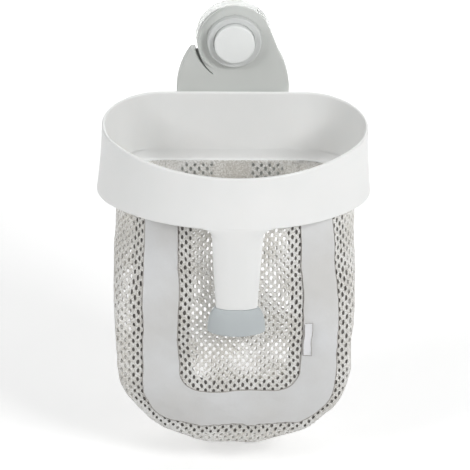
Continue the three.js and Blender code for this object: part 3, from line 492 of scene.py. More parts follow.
def wander(p, wavelength, seed):
    """A smooth field of shifts, each part from -1 to 1, that repeats itself on every run."""
    random = np.random.default_rng(seed)
    total = np.zeros(p.shape)
    waves = 3
    for octave, strength in ((1.0, 0.6), (1.9, 0.4)):
        for axis in range(3):
            for _ in range(waves):
                way = random.normal(size=3)
                way /= np.linalg.norm(way)
                phase = random.uniform(0, 2 * math.pi)
                wave = np.sin(p @ way * 2 * math.pi * octave / wavelength + phase)
                total[..., axis] += strength / waves * wave
    return total


def relax(p):
    """The cloth's unevenness: it hangs a little to the right and ripples, and stays put at the rim."""
    drop = -p[..., 2]
    free = smooth((drop - RIPPLES_FROM) / RIPPLES_OVER)
    moved = p.copy()
    moved[..., 0] += np.interp(drop, SHIFT_DROPS, SHIFTS)
    moved[..., 0] += np.interp(drop, TUCK_DROPS, TUCKS) * smooth((-p[..., 0] - TUCK_FROM) / TUCK_FROM)
    for wavelength, seed, size in RIPPLES:
        moved += wander(p, wavelength, seed) * size * free[..., None]
    return moved


def settled(top_x, top_out, low_x, low_out, drop):
    """A row of cloth, which follows the rim's opening at its top and takes its own shape below."""
    share = smooth((drop - BAG_TOP) / BLEND_HEIGHT)
    rise = rim_bottom(top_out) - RIM_BOTTOM
    return np.stack([mix(top_x, low_x, share), mix(top_out, low_out, share), rise * (1 - share) - drop], -1)


def path_at(path, share):
    steps = np.concatenate([[0], np.cumsum(np.linalg.norm(np.diff(path, axis=0), axis=1))])
    return np.stack([np.interp(share * steps[-1], steps, path[:, k]) for k in range(2)], -1)


# Half the outline of the bag's mouth, split at the back panel's edge and at its widest point
MOUTH_HALF = d_outline(OPENING, evenly(-0.8))[:FLAT_STEPS + END_STEPS + 1 + FRONT_STEPS]
WIDEST = int(np.argmax(MOUTH_HALF[:, 0]))
GUSSET_PATH = MOUTH_HALF[FLAT_STEPS:WIDEST + 1]
FRONT_PATH = MOUTH_HALF[WIDEST:]


def bag_drops(rows):
    """The rows' drops, even down the sides and closer together towards the bottom."""
    straight = np.linspace(BAG_TOP, CORNER_TOP, rows)
    angles = spaced(0, LOWEST_ANGLE, rows)
    return np.concatenate([straight[:-1], CORNER_TOP + CORNER_HEIGHT * np.sin(angles) ** (2 / CORNER_POWER)])


def front_grid():
    across = np.linspace(-1, 1, PANEL_COLUMNS)
    top = path_at(FRONT_PATH, 1 - np.abs(across))
    angle = np.abs(across) * math.pi / 2
    grid = []
    for drop in bag_drops(PANEL_ROWS):
        bulge = BULGE * np.cos(angle) * math.sqrt(1 - corner_share(drop) ** 2)
        row = settled(top[:, 0], top[:, 1], bag_width(drop) * np.sin(angle), BAG_EDGE_OUT + bulge, drop)
        row[:, 0] *= np.sign(across)
        grid.append(row)
    return np.array(grid)


def back_grid():
    across = np.linspace(-1, 1, PANEL_COLUMNS)
    top_x, top_out = across * GUSSET_PATH[0, 0], np.full(PANEL_COLUMNS, GUSSET_PATH[0, 1])
    low_out = np.full(PANEL_COLUMNS, BAG_BACK_OUT)
    return np.array([settled(top_x, top_out, across * bag_width(drop), low_out, drop)
                     for drop in bag_drops(PANEL_ROWS)])


def gusset_grid(rows):
    """The strip between the panels, down the left side and up the right."""
    share = np.linspace(0, 1, GUSSET_COLUMNS)
    top = path_at(GUSSET_PATH, share)
    low_out = mix(BAG_BACK_OUT, BAG_EDGE_OUT, share)
    side = []
    for drop in bag_drops(rows):
        row = settled(top[:, 0], top[:, 1], np.full(GUSSET_COLUMNS, bag_width(drop)), low_out, drop)
        row[:, 2] -= GUSSET_SAG * np.sin(math.pi * share) * smooth(corner_share(drop))
        side.append(row)
    right = np.array(side)
    return np.concatenate([right * [-1, 1, 1], right[::-1]])


class Surface:
    """A sheet addressed by the distances across from its middle line and down from its top."""

    def __init__(self, grid):
        steps = np.linalg.norm(np.diff(grid, axis=1), axis=2)
        along = np.concatenate([np.zeros((len(grid), 1)), np.cumsum(steps, axis=1)], axis=1)
        shares = np.linspace(0, 1, grid.shape[1])
        self.half = along[:, -1] / 2
        self.grid = np.array([[np.interp(shares, a / a[-1], row[:, k]) for k in range(3)]
                              for a, row in zip(along, grid)]).transpose(0, 2, 1)
        middle = self.grid[:, grid.shape[1] // 2]
        self.down = np.concatenate([[0], np.cumsum(np.linalg.norm(np.diff(middle, axis=0), axis=1))])

    def half_at(self, down):
        return np.interp(down, self.down, self.half)

    def at(self, across, down):
        rows, columns = self.grid.shape[:2]
        row = np.interp(down, self.down, np.arange(rows))
        column = np.clip(0.5 + across / (2 * self.half_at(down)), 0, 1) * (columns - 1)
        i = np.minimum(row.astype(int), rows - 2)
        j = np.minimum(column.astype(int), columns - 2)
        fi, fj = (row - i)[..., None], (column - j)[..., None]
        g = self.grid
        return mix(mix(g[i, j], g[i, j + 1], fj), mix(g[i + 1, j], g[i + 1, j + 1], fj), fi)

    def lifted(self, across, down, distance):
        """The place at a distance from the sheet, on the side that faces away from the wall."""
        step = 1.0
        above, below = np.maximum(down - step, 0), np.minimum(down + step, self.down[-1])
        sideways = self.at(across + step, down) - self.at(across - step, down)
        downwards = self.at(across, below) - self.at(across, above)
        normal = np.cross(sideways, downwards)
        normal /= np.linalg.norm(normal, axis=-1, keepdims=True)
        normal *= np.sign(normal[..., 1:2] + 1e-9)
        return self.at(across, down) + normal * distance

    def across_of(self, x, down):
        """The distance across at which the sheet has a given x."""
        low, high = -self.half_at(down), self.half_at(down)
        for _ in range(24):
            middle = (low + high) / 2
            less = self.at(middle, down)[..., 0] < x
            low, high = np.where(less, middle, low), np.where(less, high, middle)
        return (low + high) / 2

    def outline(self):
        right = np.stack([self.half, self.down], -1)
        left = np.stack([-self.half, self.down], -1)[::-1]
        return np.concatenate([right, left])

    def flat_area(self):
        widths = self.half[1:] + self.half[:-1]
        return float((widths * np.diff(self.down)).sum()) * MM * MM


# The knit

# How far apart the cells are across and down, and a hole's half width and half height
PITCH, ROW = 4.15, 9.3
HOLE = (1.5, 2.5)
HOLE_VARIES, HOLE_LEANS = 0.1, 0.25

# The points round a cell, as shares of PITCH and ROW, and how many steps each share is a multiple of
HALF_CELL = [(2 / 3, 0), (1 / 2, 1 / 4), (1 / 3, 1 / 2), (0, 1 / 2), (-1 / 3, 1 / 2), (-1 / 2, 1 / 4)]
CELL = HALF_CELL + [(-a, -b) for a, b in HALF_CELL]
ACROSS_STEPS, DOWN_STEPS = 6, 4

CLOTH_THICK = 0.9
SEAM_MARGIN = 2.4

# The size of a hole where the knit is close or open, as shares of HOLE
CLOSE, BACK_OPEN, GUSSET_OPEN = 0.12, 1.2, 1.15


def nearest_on(outline, points):
    start, end = outline, np.roll(outline, -1, axis=0)
    way = end - start
    length = np.maximum((way ** 2).sum(-1), 1e-9)
    share = np.clip(((points[:, None] - start) * way).sum(-1) / length, 0, 1)
    places = start + share[..., None] * way
    distance = np.linalg.norm(places - points[:, None], axis=-1)
    best = distance.argmin(1)
    pick = np.arange(len(points))
    return places[pick, best], distance[pick, best]


def mesh_cloth(surface, seed, closer=None):
    """A honeycomb of cells over the sheet, each with an oval hole unless the seam is near."""
    random = np.random.default_rng(seed)
    outline = surface.outline()
    widest, length = surface.half.max(), surface.down[-1]
    columns = int(widest / PITCH) + 2
    rows = int(length / ROW) + 2
    centres = np.array([(i * PITCH, (j + (i % 2) / 2) * ROW)
                        for i in range(-columns, columns + 1) for j in range(-1, rows + 1)])
    _, distance = nearest_on(outline, centres)
    across, down = centres.T
    inside = (np.abs(across) < surface.half_at(down)) & (down > 0) & (down < length)
    kept = inside | (distance < 0.55 * PITCH)
    open_cell = inside & (distance > SEAM_MARGIN)
    sides = [(k, (k + 1) % len(CELL)) for k in range(len(CELL))]
    places, flat, faces = {}, [], []

    def shared(u, v):
        key = (round(u / PITCH * ACROSS_STEPS), round(v / ROW * DOWN_STEPS))
        if key not in places:
            places[key] = len(flat)
            flat.append((u, v))
        return places[key]

    for (u, v), has_hole in zip(centres[kept], open_cell[kept]):
        ring = [shared(u + a * PITCH, v + b * ROW) for a, b in CELL]
        first = len(flat)
        if has_hole:
            size = (1 + random.uniform(-HOLE_VARIES, HOLE_VARIES)) * (closer(u, v) if closer else 1)
            lean = random.uniform(-HOLE_LEANS, HOLE_LEANS)
            for k, _ in sides:
                a, b = math.cos(k * math.pi / 6), math.sin(k * math.pi / 6)
                flat.append((u + HOLE[0] * size * a + lean * b, v + HOLE[1] * size * b))
            faces += [(ring[k], ring[n], first + n, first + k) for k, n in sides]
        else:
            flat.append((u, v))
            faces += [(ring[k], ring[n], first) for k, n in sides]
    flat = np.array(flat)
    across, down = flat.T
    outside = (np.abs(across) > surface.half_at(down)) | (down < 0) | (down > length)
    flat[outside] = nearest_on(outline, flat[outside])[0]
    return surface.at(flat[:, 0], flat[:, 1]), faces


def closer_behind_rim(u, v):
    """The back panel is closer just under the rim, but for the strips over the plate's legs."""
    strip_inner, strip_outer, strip_top, open_from, open_over = 17, 52, 34, 25, 20
    if strip_inner < abs(u) < strip_outer:
        return 1.0 if v < strip_top else BACK_OPEN
    return mix(CLOSE, BACK_OPEN, smooth((v - open_from) / open_over))


def closer_at_ends(length):
    """The back half of the gusset is closer at its two ends, just under the rim."""
    return lambda u, v: mix(CLOSE, GUSSET_OPEN, max(smooth((min(v, length - v) - 28) / 30), smooth(u / 14)))


def build_cloth(name, surface, material, seed, replaced, closer=None):
    points, faces = mesh_cloth(surface, seed, closer)
    piece = add_shape(name, relax(points), faces)
    thicken(piece, CLOTH_THICK)
    dress(piece, material, "scoop", replaced, sharp=50)
    area = surface.flat_area()


def build_seam(name, line, radius, material, replaced):
    """A bound seam: a thin tube along a line, which swells from stitch to stitch."""
    line = relax(line)
    tangent = np.gradient(line, axis=0)
    tangent /= np.linalg.norm(tangent, axis=1, keepdims=True)
    side = np.cross(tangent, [0, 1, 0])
    side /= np.linalg.norm(side, axis=1, keepdims=True)
    up = np.cross(side, tangent)
    pulse = 1 + 0.12 * np.sin(np.arange(len(line)) * 2.1)
    loops = [tube_loop(p, radius * k, s, u) for p, s, u, k in zip(line, side, up, pulse)]
    dress(add_shape(name, *stack(loops)), material, "scoop", replaced)


def build_hem(material):
    """The bag's folded top edge, a strip on the rim's ledge."""
    low, high = HEM_LIFT + 0.1, HEM_LIFT + 0.9
    inner = opening_loop(-0.9, 0)
    outer = mix(opening_loop(0, 0), rim_loop(0, 0, WALL), 0.75)
    loops = [inner + [0, 0, low], inner + [0, 0, high]]
    loops += [mix(inner, outer, share) + [0, 0, high] for share in (0.3, 0.6, 1)]
    loops += [mix(inner, outer, share) + [0, 0, low] for share in (1, 0.6, 0.3)]
    piece = add_shape("bag_top_hem", *loft(loops))
    dress(piece, material, "scoop", ["bag_hem"])


# Band, lining and tag

BAND_TOP = BAG_TOP + 2.8
BAND_INNER, BAND_OUTER = (60, 317.5, 24), (94, 359.0, 46)
BAND_CENTRE = 2.6
BAND_COLUMNS = 16
BAND_THICK = 0.7
LEG_STEPS, TURN_STEPS, BASE_STEPS = 70, 26, 40

# How far each edge of the band's legs is shifted to the right, at each drop
BAND_DROPS = [130, 160, 190, 236, 270, 295, 315, 345]
BAND_SHIFTS = {
    "left_inner": [2.4, 2.5, 2.5, 3.6, 3.0, 2.6, 1.5, 0.5],
    "left_outer": [4.6, 4.2, 3.4, 3.2, 3.2, 3.2, 2.8, 0.5],
    "right_inner": [-1.8, 0.4, 2.5, 4.6, 5.2, 2.4, 1.5, 0.5],
    "right_outer": [-3.8, 0.2, 3.0, 7.2, 8.0, 6.0, 3.0, 1.0],
}

EDGE_LIFT, EDGE_RADIUS = 1.25, 0.42


def band_outline(half, bottom, corner):
    """A U of (x, drop) points, down the right leg and up the left."""
    right = [(half, mix(BAND_TOP, bottom - corner, i / LEG_STEPS)) for i in range(LEG_STEPS)]
    for i in range(TURN_STEPS + 1):
        angle = math.pi / 2 * i / TURN_STEPS
        right.append((half - corner + corner * math.cos(angle), bottom - corner + corner * math.sin(angle)))
    right += [((half - corner) * (1 - i / BASE_STEPS), bottom) for i in range(1, BASE_STEPS + 1)]
    return np.array(right + [(-x, drop) for x, drop in right[:-1][::-1]])


def band_shift(x, drop, share):
    """The band's legs splay unevenly: each edge has its own shift to the right."""
    edge = {key: np.interp(drop, BAND_DROPS, values) for key, values in BAND_SHIFTS.items()}
    left = mix(edge["left_inner"], edge["left_outer"], share)
    right = mix(edge["right_inner"], edge["right_outer"], share)
    return mix(left, right, smooth((x + 45) / 90))


def band_grid(surface, margin, lift):
    """The U's rows from its inner edge to its outer one, with ripples low down."""
    half, bottom, corner = BAND_INNER
    inner = band_outline(half - margin, bottom - margin, corner - margin / 2)
    outer = band_outline(*(value + margin for value in BAND_OUTER))
    along = np.arange(len(inner))
    wave = 0.5 * np.sin(along * 0.31) + 0.35 * np.sin(along * 0.83 + 1)
    rows = []
    for share in np.arange(BAND_COLUMNS + 1) / BAND_COLUMNS:
        flat = mix(inner, outer, share)
        low = smooth((flat[:, 1] - 200) / 100)
        flat[:, 1] += wave * low * share
        x, drop = flat.T
        down = np.clip(drop - BAG_TOP, 0, surface.down[-1] - 1)
        limit = surface.half_at(down) - 1
        centred = x + BAND_CENTRE * np.clip(1 - np.abs(x) / 118, 0.2, 1)
        across = np.clip(surface.across_of(centred + band_shift(x, drop, share), down), -limit, limit)
        ripple = 0.5 + 0.5 * np.sin(x * 0.17 + 0.9 * np.sin(drop * 0.05)) * np.sin(drop * 0.06 + 1)
        height = lift + 0.9 * ripple * low * math.sin(math.pi * share)
        rows.append(surface.lifted(across, down, height[:, None]))
    return np.array(rows)


def add_sheet(name, grid, thickness):
    piece = add_shape(name, relax(grid.reshape(-1, 3)), grid_faces(*grid.shape[:2]))
    thicken(piece, thickness)
    return piece


def build_band(name, surface, material, margin, lift, replaced):
    grid = band_grid(surface, margin, lift)
    piece = add_sheet(name, grid, BAND_THICK)
    dress(piece, material, "scoop", replaced, sharp=60)


def build_tag(surface, material, edging):
    """The small label on the band's right leg, left bare, which curls away at its right edge."""
    left, top, shown, length = 66.2, 240.5, 8.0, 36
    lift, stitch_lift, thickness, stitch_radius = 1.75, 2.2, 0.5, 0.28
    x = left + BAND_CENTRE * 0.5 + shown * np.linspace(0, 1, 7)
    down = top - BAG_TOP + length * np.linspace(0, 1, 25)
    xx, dd = np.meshgrid(x, down)
    across = surface.across_of(xx, dd)
    curl = 1.6 * ((xx - x[0]) / shown) ** 2
    curled = np.stack([np.zeros_like(curl), curl, np.zeros_like(curl)], -1)
    piece = add_sheet("side_tag", surface.lifted(across, dd, lift) + curled, thickness)
    dress(piece, material, "scoop", ["blank_tag"], sharp=60)
    grid = surface.lifted(across, dd, stitch_lift) + curled
    border = np.concatenate([grid[0], grid[1:, -1], grid[-1, -2::-1], grid[-2:0:-1, 0]])
    build_seam("tag_stitch", border, stitch_radius, edging, ["blank_tag"])


# Bracket

# Turned pieces, as (radius, out) pairs
COLLAR = [(22.2, 15.1), (26.7, 15.1), (26.9, 15.4), (26.6, 17.6), *arc((25.2, 20.4), 1.1, 8, 90, 8),
          (23.4, 21.3), *arc((21.1, 20.4), 0.9, 90, 180, 8), (20.2, 17.6), (22.2, 17.4), (22.2, 15.1)]
BUTTON = [(0, 24.6), (18.3, 24.6), (18.4, 18.3), (19.8, 18.3), *arc((18.5, 25.3), 1.3, 0, 84, 9),
          (17.2, 26.66), (12, 26.85), (6, 26.97), (0, 27.0)]
CUP = [(0, 4.4), (8, 4.35), (12, 4.2), (18, 3.3), (26, 1.5), (32, 0.3), (33.5, 0.02), (37, 0.0),
       *arc((36.5, 0.55), 0.5, 0, 90, 5), (34, 1.7), (28, 3.4), (22, 5.3), (16, 6.9), (13.2, 7.5),
       (12.2, 8.1), (12, 9.2), (11.6, 9.9), (10, 10), (4.3, 10), (4.3, 7.9), (9.3, 7.9), (9.3, 5.4),
       (0, 5.4)]

# The slope inside the dished disc's lip, as radii and shares of its height
LIP_SLOPE = ((35.5, 0.99), (35.3, 0.93), (35.15, 0.8), (35.0, 0.6), (34.8, 0.4), (34.4, 0.24), (33.8, 0.13),
             (33.0, 0.06), (31.6, 0.03), (29.0, 0.015), (27.2, 0.01))


def build_turned(name, profile, material, body, replaced, sharp=50):
    dress(add_shape(name, *lathe(profile)), material, body, replaced, sharp)


def build_plate_disc(material):
    """The dished disc round the collar, whose lip stands high on the left and runs out above and below."""
    face, outer, hole, height, edge = 15, 36.1, 27.2, 3.7, 0.4
    rise_from, rise_over, fall_to, fall_over = 85, 80, 242, 34
    angles = circle(240)
    degrees = np.degrees(angles)
    high = height * smooth((degrees - rise_from) / rise_over) * smooth((fall_to - degrees) / fall_over)
    rings = [(hole, -0.4), (outer, -0.4)]
    rings += [(outer - edge + edge * c, high * (0.88 + 0.12 * s) - 0.06) for s, c in rounding(1, 0, 90, 7)]
    rings += [(radius, high * share + 0.04) for radius, share in LIP_SLOPE]
    loops = [about_axis(radius, face + rise, angles) for radius, rise in rings]
    dress(add_shape("plate_disc", *loft(loops)), material, "bracket", sharp=50)


def build_painted_groove_strip(material):
    """A strip of painted shade on the floor of the crescent groove beside the lobe: its dark grey stands in
    for the shade deep in the groove.
    """
    radius, grows, wide, first, turn = 36.3, 4.6, 3, 193, 48
    shares = np.linspace(0.04, 0.97, 24)
    angles = np.radians(first + turn * shares)
    loops = []
    for lift in (13.05, 13.3):
        inner, outer = (radius + grows * shares ** 1.4 + across * wide * (1 - 0.7 * shares)
                        for across in (0.15, 0.85))
        back = about_axis(outer, lift, angles)[::-1]
        loops.append(np.concatenate([about_axis(inner, lift, angles), back]))
    dress(add_shape("groove_painted_strip", *stack(loops)), material, "bracket")


def build_spring(material):
    """The coil behind the button; the real one shortens as the button goes in, but it is built here at one
    length.
    """
    radius, wire, turns, ends = 11, 0.44, 3, (13.05, 20.05)
    loops = []
    for turn in np.linspace(0, turns, 109):
        way = 2 * math.pi * turn
        radial = np.array([math.cos(way), 0, math.sin(way)])
        centre = radius * radial + [0, mix(*ends, turn / turns), 0]
        loops.append(tube_loop(centre, wire, radial, np.array([0, 1, 0])))
    piece = add_shape("button_coil", *stack(loops))
    dress(piece, material, "bracket", ["button_spring"])
    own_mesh(piece)


def build_cup_tab(material):
    """The tab that peels the lip off the wall: a small upright fin on the lip."""
    outer, inner, middle, half = 36.2, 34.7, 42, 9
    loops = []
    for out, reach in ((0.4, 0.6), (1.6, 0.3), (3.4, 0.0), (5.4, -0.2), (6.3, -0.6)):
        narrow = 1.0 if out < 4 else mix(1.0, 0.82, (out - 4) / 2.3)
        angles = np.radians(middle + np.linspace(-half, half, 12) * narrow)
        front = about_axis(outer + reach * 0.5, out, angles)
        loops.append(np.concatenate([front, about_axis(inner, out, angles)[::-1]]))
    piece = add_shape("cup_pull_tab", *stack(loops))
    dress(piece, material, "bracket", ["suction_cup"], sharp=60)


# Materials

def put(tree, socket, value):
    """Link a socket to a node's output, or set its value."""
    if hasattr(value, "node"):
        tree.links.new(value, socket)
    else:
        socket.default_value = value


def node_adder(tree):
    def add(kind, sockets=(), **settings):
        node = tree.nodes.new(kind)
        for key, value in settings.items():
            setattr(node, key, value)
        for socket, value in dict(sockets).items():
            put(tree, node.inputs[socket], value)
        return node
    return add


def new_material(name):
    """A material, a function that adds nodes to it, and one that feeds its shader's sockets."""
    material = bpy.data.materials.new(name)
    material.use_nodes = True
    tree = material.node_tree
    shader = tree.nodes["Principled BSDF"]

    def feed(**sockets):
        for socket, value in sockets.items():
            put(tree, shader.inputs[socket.replace("_", " ")], value)

    return material, node_adder(tree), feed


def linear(red, green, blue):
    return tuple(((c / 255 + 0.055) / 1.055) ** 2.4 for c in (red, green, blue)) + (1,)


def object_place(add):
    return add("ShaderNodeTexCoord").outputs["Object"]


def noise(add, place, scale, detail, **more):
    sockets = {"Vector": place, "Scale": scale, "Detail": detail, **more}
    return add("ShaderNodeTexNoise", sockets).outputs["Fac"]


def joined(add, operation, first, second, **settings):
    return add("ShaderNodeMath", {0: first, 1: second}, operation=operation, **settings).outputs["Value"]


def bumped(add, height, strength, distance):
    sockets = {"Strength": strength, "Distance": distance, "Height": height}
    return add("ShaderNodeBump", sockets).outputs["Normal"]


def ramp(add, value, low, high, start=0.3, end=0.7):
    node = add("ShaderNodeValToRGB", {"Fac": value})
    for element, position, color in zip(node.color_ramp.elements, (start, end), (low, high)):
        element.position, element.color = position, color
    return node.outputs["Color"]


def spread(add, value, low, high, **more):
    sockets = {"Value": value, "To Min": low, "To Max": high, **more}
    return add("ShaderNodeMapRange", sockets).outputs["Result"]


def moulded(name, low, high, roughness, grain=0.06, coat=0.0, subsurface=0.0):
    """Moulded plastic: fine spark grain, faint flow clouds and a little unevenness in its polish."""
    material, add, feed = new_material(name)
    place = object_place(add)
    clouds = noise(add, place, 14.0, 3.0)
    fine = noise(add, place, 1500.0, 2.0)
    polish = noise(add, place, 60.0, 5.0)
    feed(Base_Color=ramp(add, clouds, low, high),
         Roughness=spread(add, polish, roughness - 0.05, roughness + 0.05),
         Normal=bumped(add, fine, grain, 0.0004),
         Coat_Weight=coat, Coat_Roughness=0.25,
         Subsurface_Weight=subsurface, Subsurface_Radius=(1.0, 0.95, 0.9), Subsurface_Scale=0.002)
    return material


def knitted(name, low, high, see_through):
    """Knitted polyester: looped yarns with bright and shaded strands and a soft sheen."""
    material, add, feed = new_material(name)
    place = object_place(add)
    loops = add("ShaderNodeTexVoronoi", {"Vector": place, "Scale": 620.0}, feature="SMOOTH_F1")
    strands = noise(add, place, 900.0, 4.0, Roughness=0.7)
    tone = noise(add, place, 25.0, 2.0)
    both = joined(add, "SUBTRACT", strands, loops.outputs["Distance"])
    feed(Base_Color=ramp(add, joined(add, "ADD", both, tone), low, high, 0.35, 0.85),
         Roughness=spread(add, tone, 0.8, 0.95),
         Normal=bumped(add, both, 0.5, 0.0006),
         Sheen_Weight=0.2, Sheen_Roughness=0.5,
         Subsurface_Weight=see_through, Subsurface_Radius=(1.0, 1.0, 1.0), Subsurface_Scale=0.0015)
    return material


def woven(name, low, high, strength=0.25):
    """Plain-woven cloth: crossing threads, slubs and a faint change of tone."""
    material, add, feed = new_material(name)
    place = object_place(add)
    sockets = {"Vector": place, "Scale": 2600.0 / 6.28, "Distortion": 0.6, "Detail": 1.0}
    warp, weft = (add("ShaderNodeTexWave", sockets, bands_direction=way).outputs["Fac"] for way in "XZ")
    cross = joined(add, "MULTIPLY", warp, weft)
    slubs = noise(add, place, 380.0, 4.0)
    tone = noise(add, place, 11.0, 3.0)
    height = joined(add, "ADD", cross, slubs)
    shade = joined(add, "ADD", tone, spread(add, slubs, -0.06, 0.06))
    feed(Base_Color=ramp(add, shade, low, high, 0.35, 0.65),
         Roughness=spread(add, slubs, 0.75, 0.9),
         Normal=bumped(add, height, strength, 0.0003),
         Sheen_Weight=0.2, Sheen_Roughness=0.4)
    return material


def clear_pvc(name):
    """Soft clear plastic with a little haze."""
    material, add, feed = new_material(name)
    haze = noise(add, object_place(add), 45.0, 3.0)
    feed(Base_Color=ramp(add, haze, linear(238, 240, 238), linear(250, 251, 250)),
         Roughness=spread(add, haze, 0.16, 0.28),
         Transmission_Weight=0.55, IOR=1.45,
         Subsurface_Weight=0.3, Subsurface_Radius=(1.0, 1.0, 1.0), Subsurface_Scale=0.003)
    return material


def metal(name, color, roughness):
    material, add, feed = new_material(name)
    brushed = noise(add, object_place(add), 400.0, 3.0)
    feed(Base_Color=ramp(add, brushed, tuple(c * 0.9 for c in color[:3]) + (1,), color),
         Metallic=1.0, Roughness=spread(add, brushed, roughness - 0.08, roughness + 0.08))
    return material


white = moulded("white_moulded", linear(241, 242, 241), linear(245, 245, 244), 0.36, subsurface=0.12)
grey = moulded("grey_moulded", linear(205, 208, 205), linear(211, 213, 210), 0.45, grain=0.12)
silver = moulded("silver_moulded", linear(205, 207, 206), linear(214, 216, 215), 0.32, coat=0.3)
button_white = moulded("button_moulded", linear(236, 238, 237), linear(241, 243, 242), 0.3)
# painted shade: the dark grey of the strip in the groove stands in for the groove's shade
painted_shade_grey = moulded("groove_painted_shade", linear(112, 112, 110), linear(126, 126, 124), 0.6)
rubber = moulded("soft_rubber", linear(183, 189, 191), linear(192, 198, 200), 0.6, grain=0.2)
knit = knitted("mesh_knit", linear(210, 207, 201), linear(244, 243, 240), 0.9)
band_cloth = woven("band_weave", linear(214, 213, 211), linear(224, 225, 226))
# The lining is real cloth, but its dark grey is painted shade of the inside of the bag, seen through the
# mesh beside the band.
lining_cloth = woven("lining_weave_painted_shade", linear(116, 113, 109), linear(132, 129, 125))
# The dark cords along the band's edges and round the tag are partly stitching and partly painted shadow of
# the edges on the cloth beneath.
edging_and_painted_shadow = woven("edging_stitch_and_painted_shadow", linear(152, 147, 143), linear(176, 171, 167))
tag_cloth = woven("tag_weave", linear(240, 240, 243), linear(248, 248, 250), strength=0.4)
pvc = clear_pvc("clear_soft_pvc")
steel = metal("plated_steel", (0.52, 0.53, 0.54, 1), 0.3)

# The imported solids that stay
NODE_LOOKS = (
    (white, ["handle_back_cover", "button_carrier"]),
    (grey, ["bracket_plate"]),
    (rubber, ["wall_pad_left", "wall_pad_right"]),
    (steel, ["stud", "stud_nut", "handle_screw_1", "handle_screw_2"]),
    (steel, [f"frame_screw_{i}" for i in range(1, 9)]),
)
for material, names in NODE_LOOKS:
    for name in names:
        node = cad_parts[name]
        node.data.materials.clear()
        node.data.materials.append(material)

build_rim(white)
build_frame_ring(white)
build_handle(white)
build_hook(white)
build_grip(rubber)
build_hem(knit)

front = Surface(front_grid())
back = Surface(back_grid())
gusset = Surface(gusset_grid(PANEL_ROWS))
build_cloth("bag_front_mesh", front, knit, 11, ["bag_front_panel"])
build_cloth("bag_back_mesh", back, knit, 12, ["bag_back_panel"], closer_behind_rim)
build_cloth("bag_gusset_mesh", gusset, knit, 13, ["bag_gusset"], closer_at_ends(gusset.down[-1]))
u_turn = gusset_grid(SEAM_ROWS)
build_seam("front_seam", u_turn[:, -1], 0.9, knit, ["bag_gusset"])
build_seam("back_seam", u_turn[:, 0], 0.9, knit, ["bag_gusset"])
build_band("front_band_cloth", front, band_cloth, 0, 1.0, ["front_band"])
build_band("lining_cloth", front, lining_cloth, 12, -1.5, ["band_lining"])
# dark cords along the band's edges: partly stitching, partly painted shadow
edges = band_grid(front, 0, EDGE_LIFT)
build_seam("band_inner_edge", edges[0], EDGE_RADIUS, edging_and_painted_shadow, ["front_band"])
build_seam("band_outer_edge", edges[-1], EDGE_RADIUS, edging_and_painted_shadow, ["front_band"])
build_tag(front, tag_cloth, edging_and_painted_shadow)

build_turned("knob_collar", COLLAR, silver, "bracket", ["knob_ring"])
build_plate_disc(grey)
build_painted_groove_strip(painted_shade_grey)
build_turned("button_face", BUTTON, button_white, "button", ["button_cap"])
build_spring(steel)
build_turned("cup_bell", CUP, pvc, "cup", ["suction_cup"], sharp=55)
build_cup_tab(pvc)


# Camera, lamps and stage, in metres

WHITE = (1, 1, 1, 1)


def add_camera():
    """The camera fitted to the photo: its focal length is in the photo's pixels."""
    elevation, yaw, roll = (math.radians(a) for a in (28.0, 3.07, 1.52))
    target, distance = Vector((0.00177, -0.09, -0.17542)), 2.5
    focal_length, photo_width, sensor = 2543.31, 470, 36
    level = math.cos(elevation)
    forward = Vector((math.sin(yaw) * level, math.cos(yaw) * level, -math.sin(elevation)))
    right = forward.cross(Vector((0, 0, 1))).normalized()
    up = right.cross(forward)
    turned_right = right * math.cos(roll) + up * math.sin(roll)
    turned_up = up * math.cos(roll) - right * math.sin(roll)
    data = bpy.data.cameras.new("camera")
    data.sensor_width = data.sensor_height = sensor
    data.sensor_fit = "HORIZONTAL"
    data.lens = sensor * focal_length / photo_width
    data.clip_end = 100
    camera = bpy.data.objects.new("camera", data)
    columns = [turned_right, turned_up, -forward, target - forward * distance]
    camera.matrix_world = Matrix([[c[i] for c in columns] for i in range(3)] + [[0, 0, 0, 1]])
    bpy.context.scene.collection.objects.link(camera)
    bpy.context.scene.camera = camera


def add_area(name, place, aim, size, power):
    data = bpy.data.lights.new(name, "AREA")
    data.shape = "RECTANGLE"
    data.size, data.size_y = size
    data.energy = power
    light = bpy.data.objects.new(name, data)
    light.location = place
    way = Vector(aim) - Vector(place)
    light.rotation_euler = way.to_track_quat("-Z", "Y").to_euler()
    bpy.context.scene.collection.objects.link(light)


def seen_rays(add, **settings):
    """The rays that show a thing directly, in a reflection or through something clear."""
    rays = add("ShaderNodeLightPath").outputs
    seen = rays["Is Camera Ray"]
    for kind in ("Is Transmission Ray", "Is Glossy Ray"):
        seen = joined(add, "ADD", seen, rays[kind], **settings)
    return seen


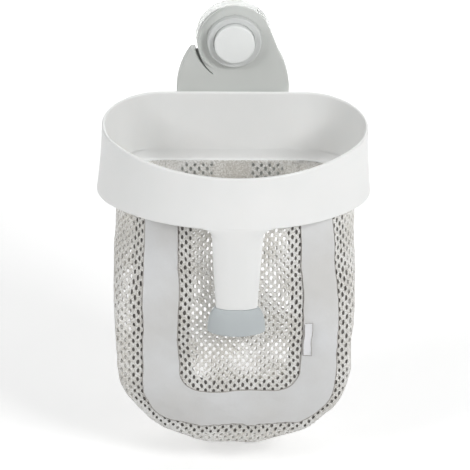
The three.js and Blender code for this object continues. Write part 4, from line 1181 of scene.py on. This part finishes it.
def add_floor():
    """A pale floor that takes the object's shadow and fades to white far from it."""
    glow_near, glow_far, near, far = 0.36, 1.0, 0.9, 3.2
    bpy.ops.mesh.primitive_grid_add(size=14, location=(0, 0, -0.412), x_subdivisions=4, y_subdivisions=4)
    floor = bpy.context.object
    floor.name = "floor"
    material, add, feed = new_material("pale_floor")
    place = object_place(add)
    faint = noise(add, place, 3.0, 2.0)
    away = add("ShaderNodeVectorMath", {0: place}, operation="LENGTH").outputs["Value"]
    glow = spread(add, away, glow_near, glow_far, **{"From Min": near, "From Max": far})
    feed(Base_Color=ramp(add, faint, (0.80, 0.80, 0.80, 1), (0.82, 0.82, 0.82, 1)), Roughness=0.9,
         Specular_IOR_Level=0.1, Emission_Color=WHITE,
         Emission_Strength=joined(add, "MULTIPLY", seen_rays(add), glow))
    floor.data.materials.append(material)


def add_world():
    """A white backdrop where it is seen, and a faint soft light from everywhere."""
    world = bpy.data.worlds.new("studio")
    bpy.context.scene.world = world
    world.use_nodes = True
    tree = world.node_tree
    tree.nodes.clear()
    add = node_adder(tree)
    soft = add("ShaderNodeBackground", {"Color": (0.985, 1, 0.99, 1), "Strength": 0.17}).outputs[0]
    plain = add("ShaderNodeBackground", {"Color": WHITE}).outputs[0]
    chosen = add("ShaderNodeMixShader", {"Fac": seen_rays(add, use_clamp=True), 1: soft, 2: plain})
    add("ShaderNodeOutputWorld", {"Surface": chosen.outputs["Shader"]})


add_camera()
add_floor()
add_world()
add_area("right", (1.32, -1.42, 1.05), (0, -0.1, -0.15), (0.8, 0.8), 27.3)
add_area("left", (-1.6, -1.0, 0.9), (0, -0.1, -0.15), (0.9, 0.9), 16.9)
add_area("low", (-0.3, -1.5, -0.75), (0, -0.1, -0.3), (1.1, 0.5), 2)
add_area("strip", (1.7, -0.3, -0.1), (0, -0.1, -0.12), (0.35, 0.9), 1.5)
add_area("back", (0.3, 1.5, 0.4), (0, -0.05, -0.2), (1.4, 1.4), 18.0)
bpy.context.scene.view_settings.view_transform = "Standard"
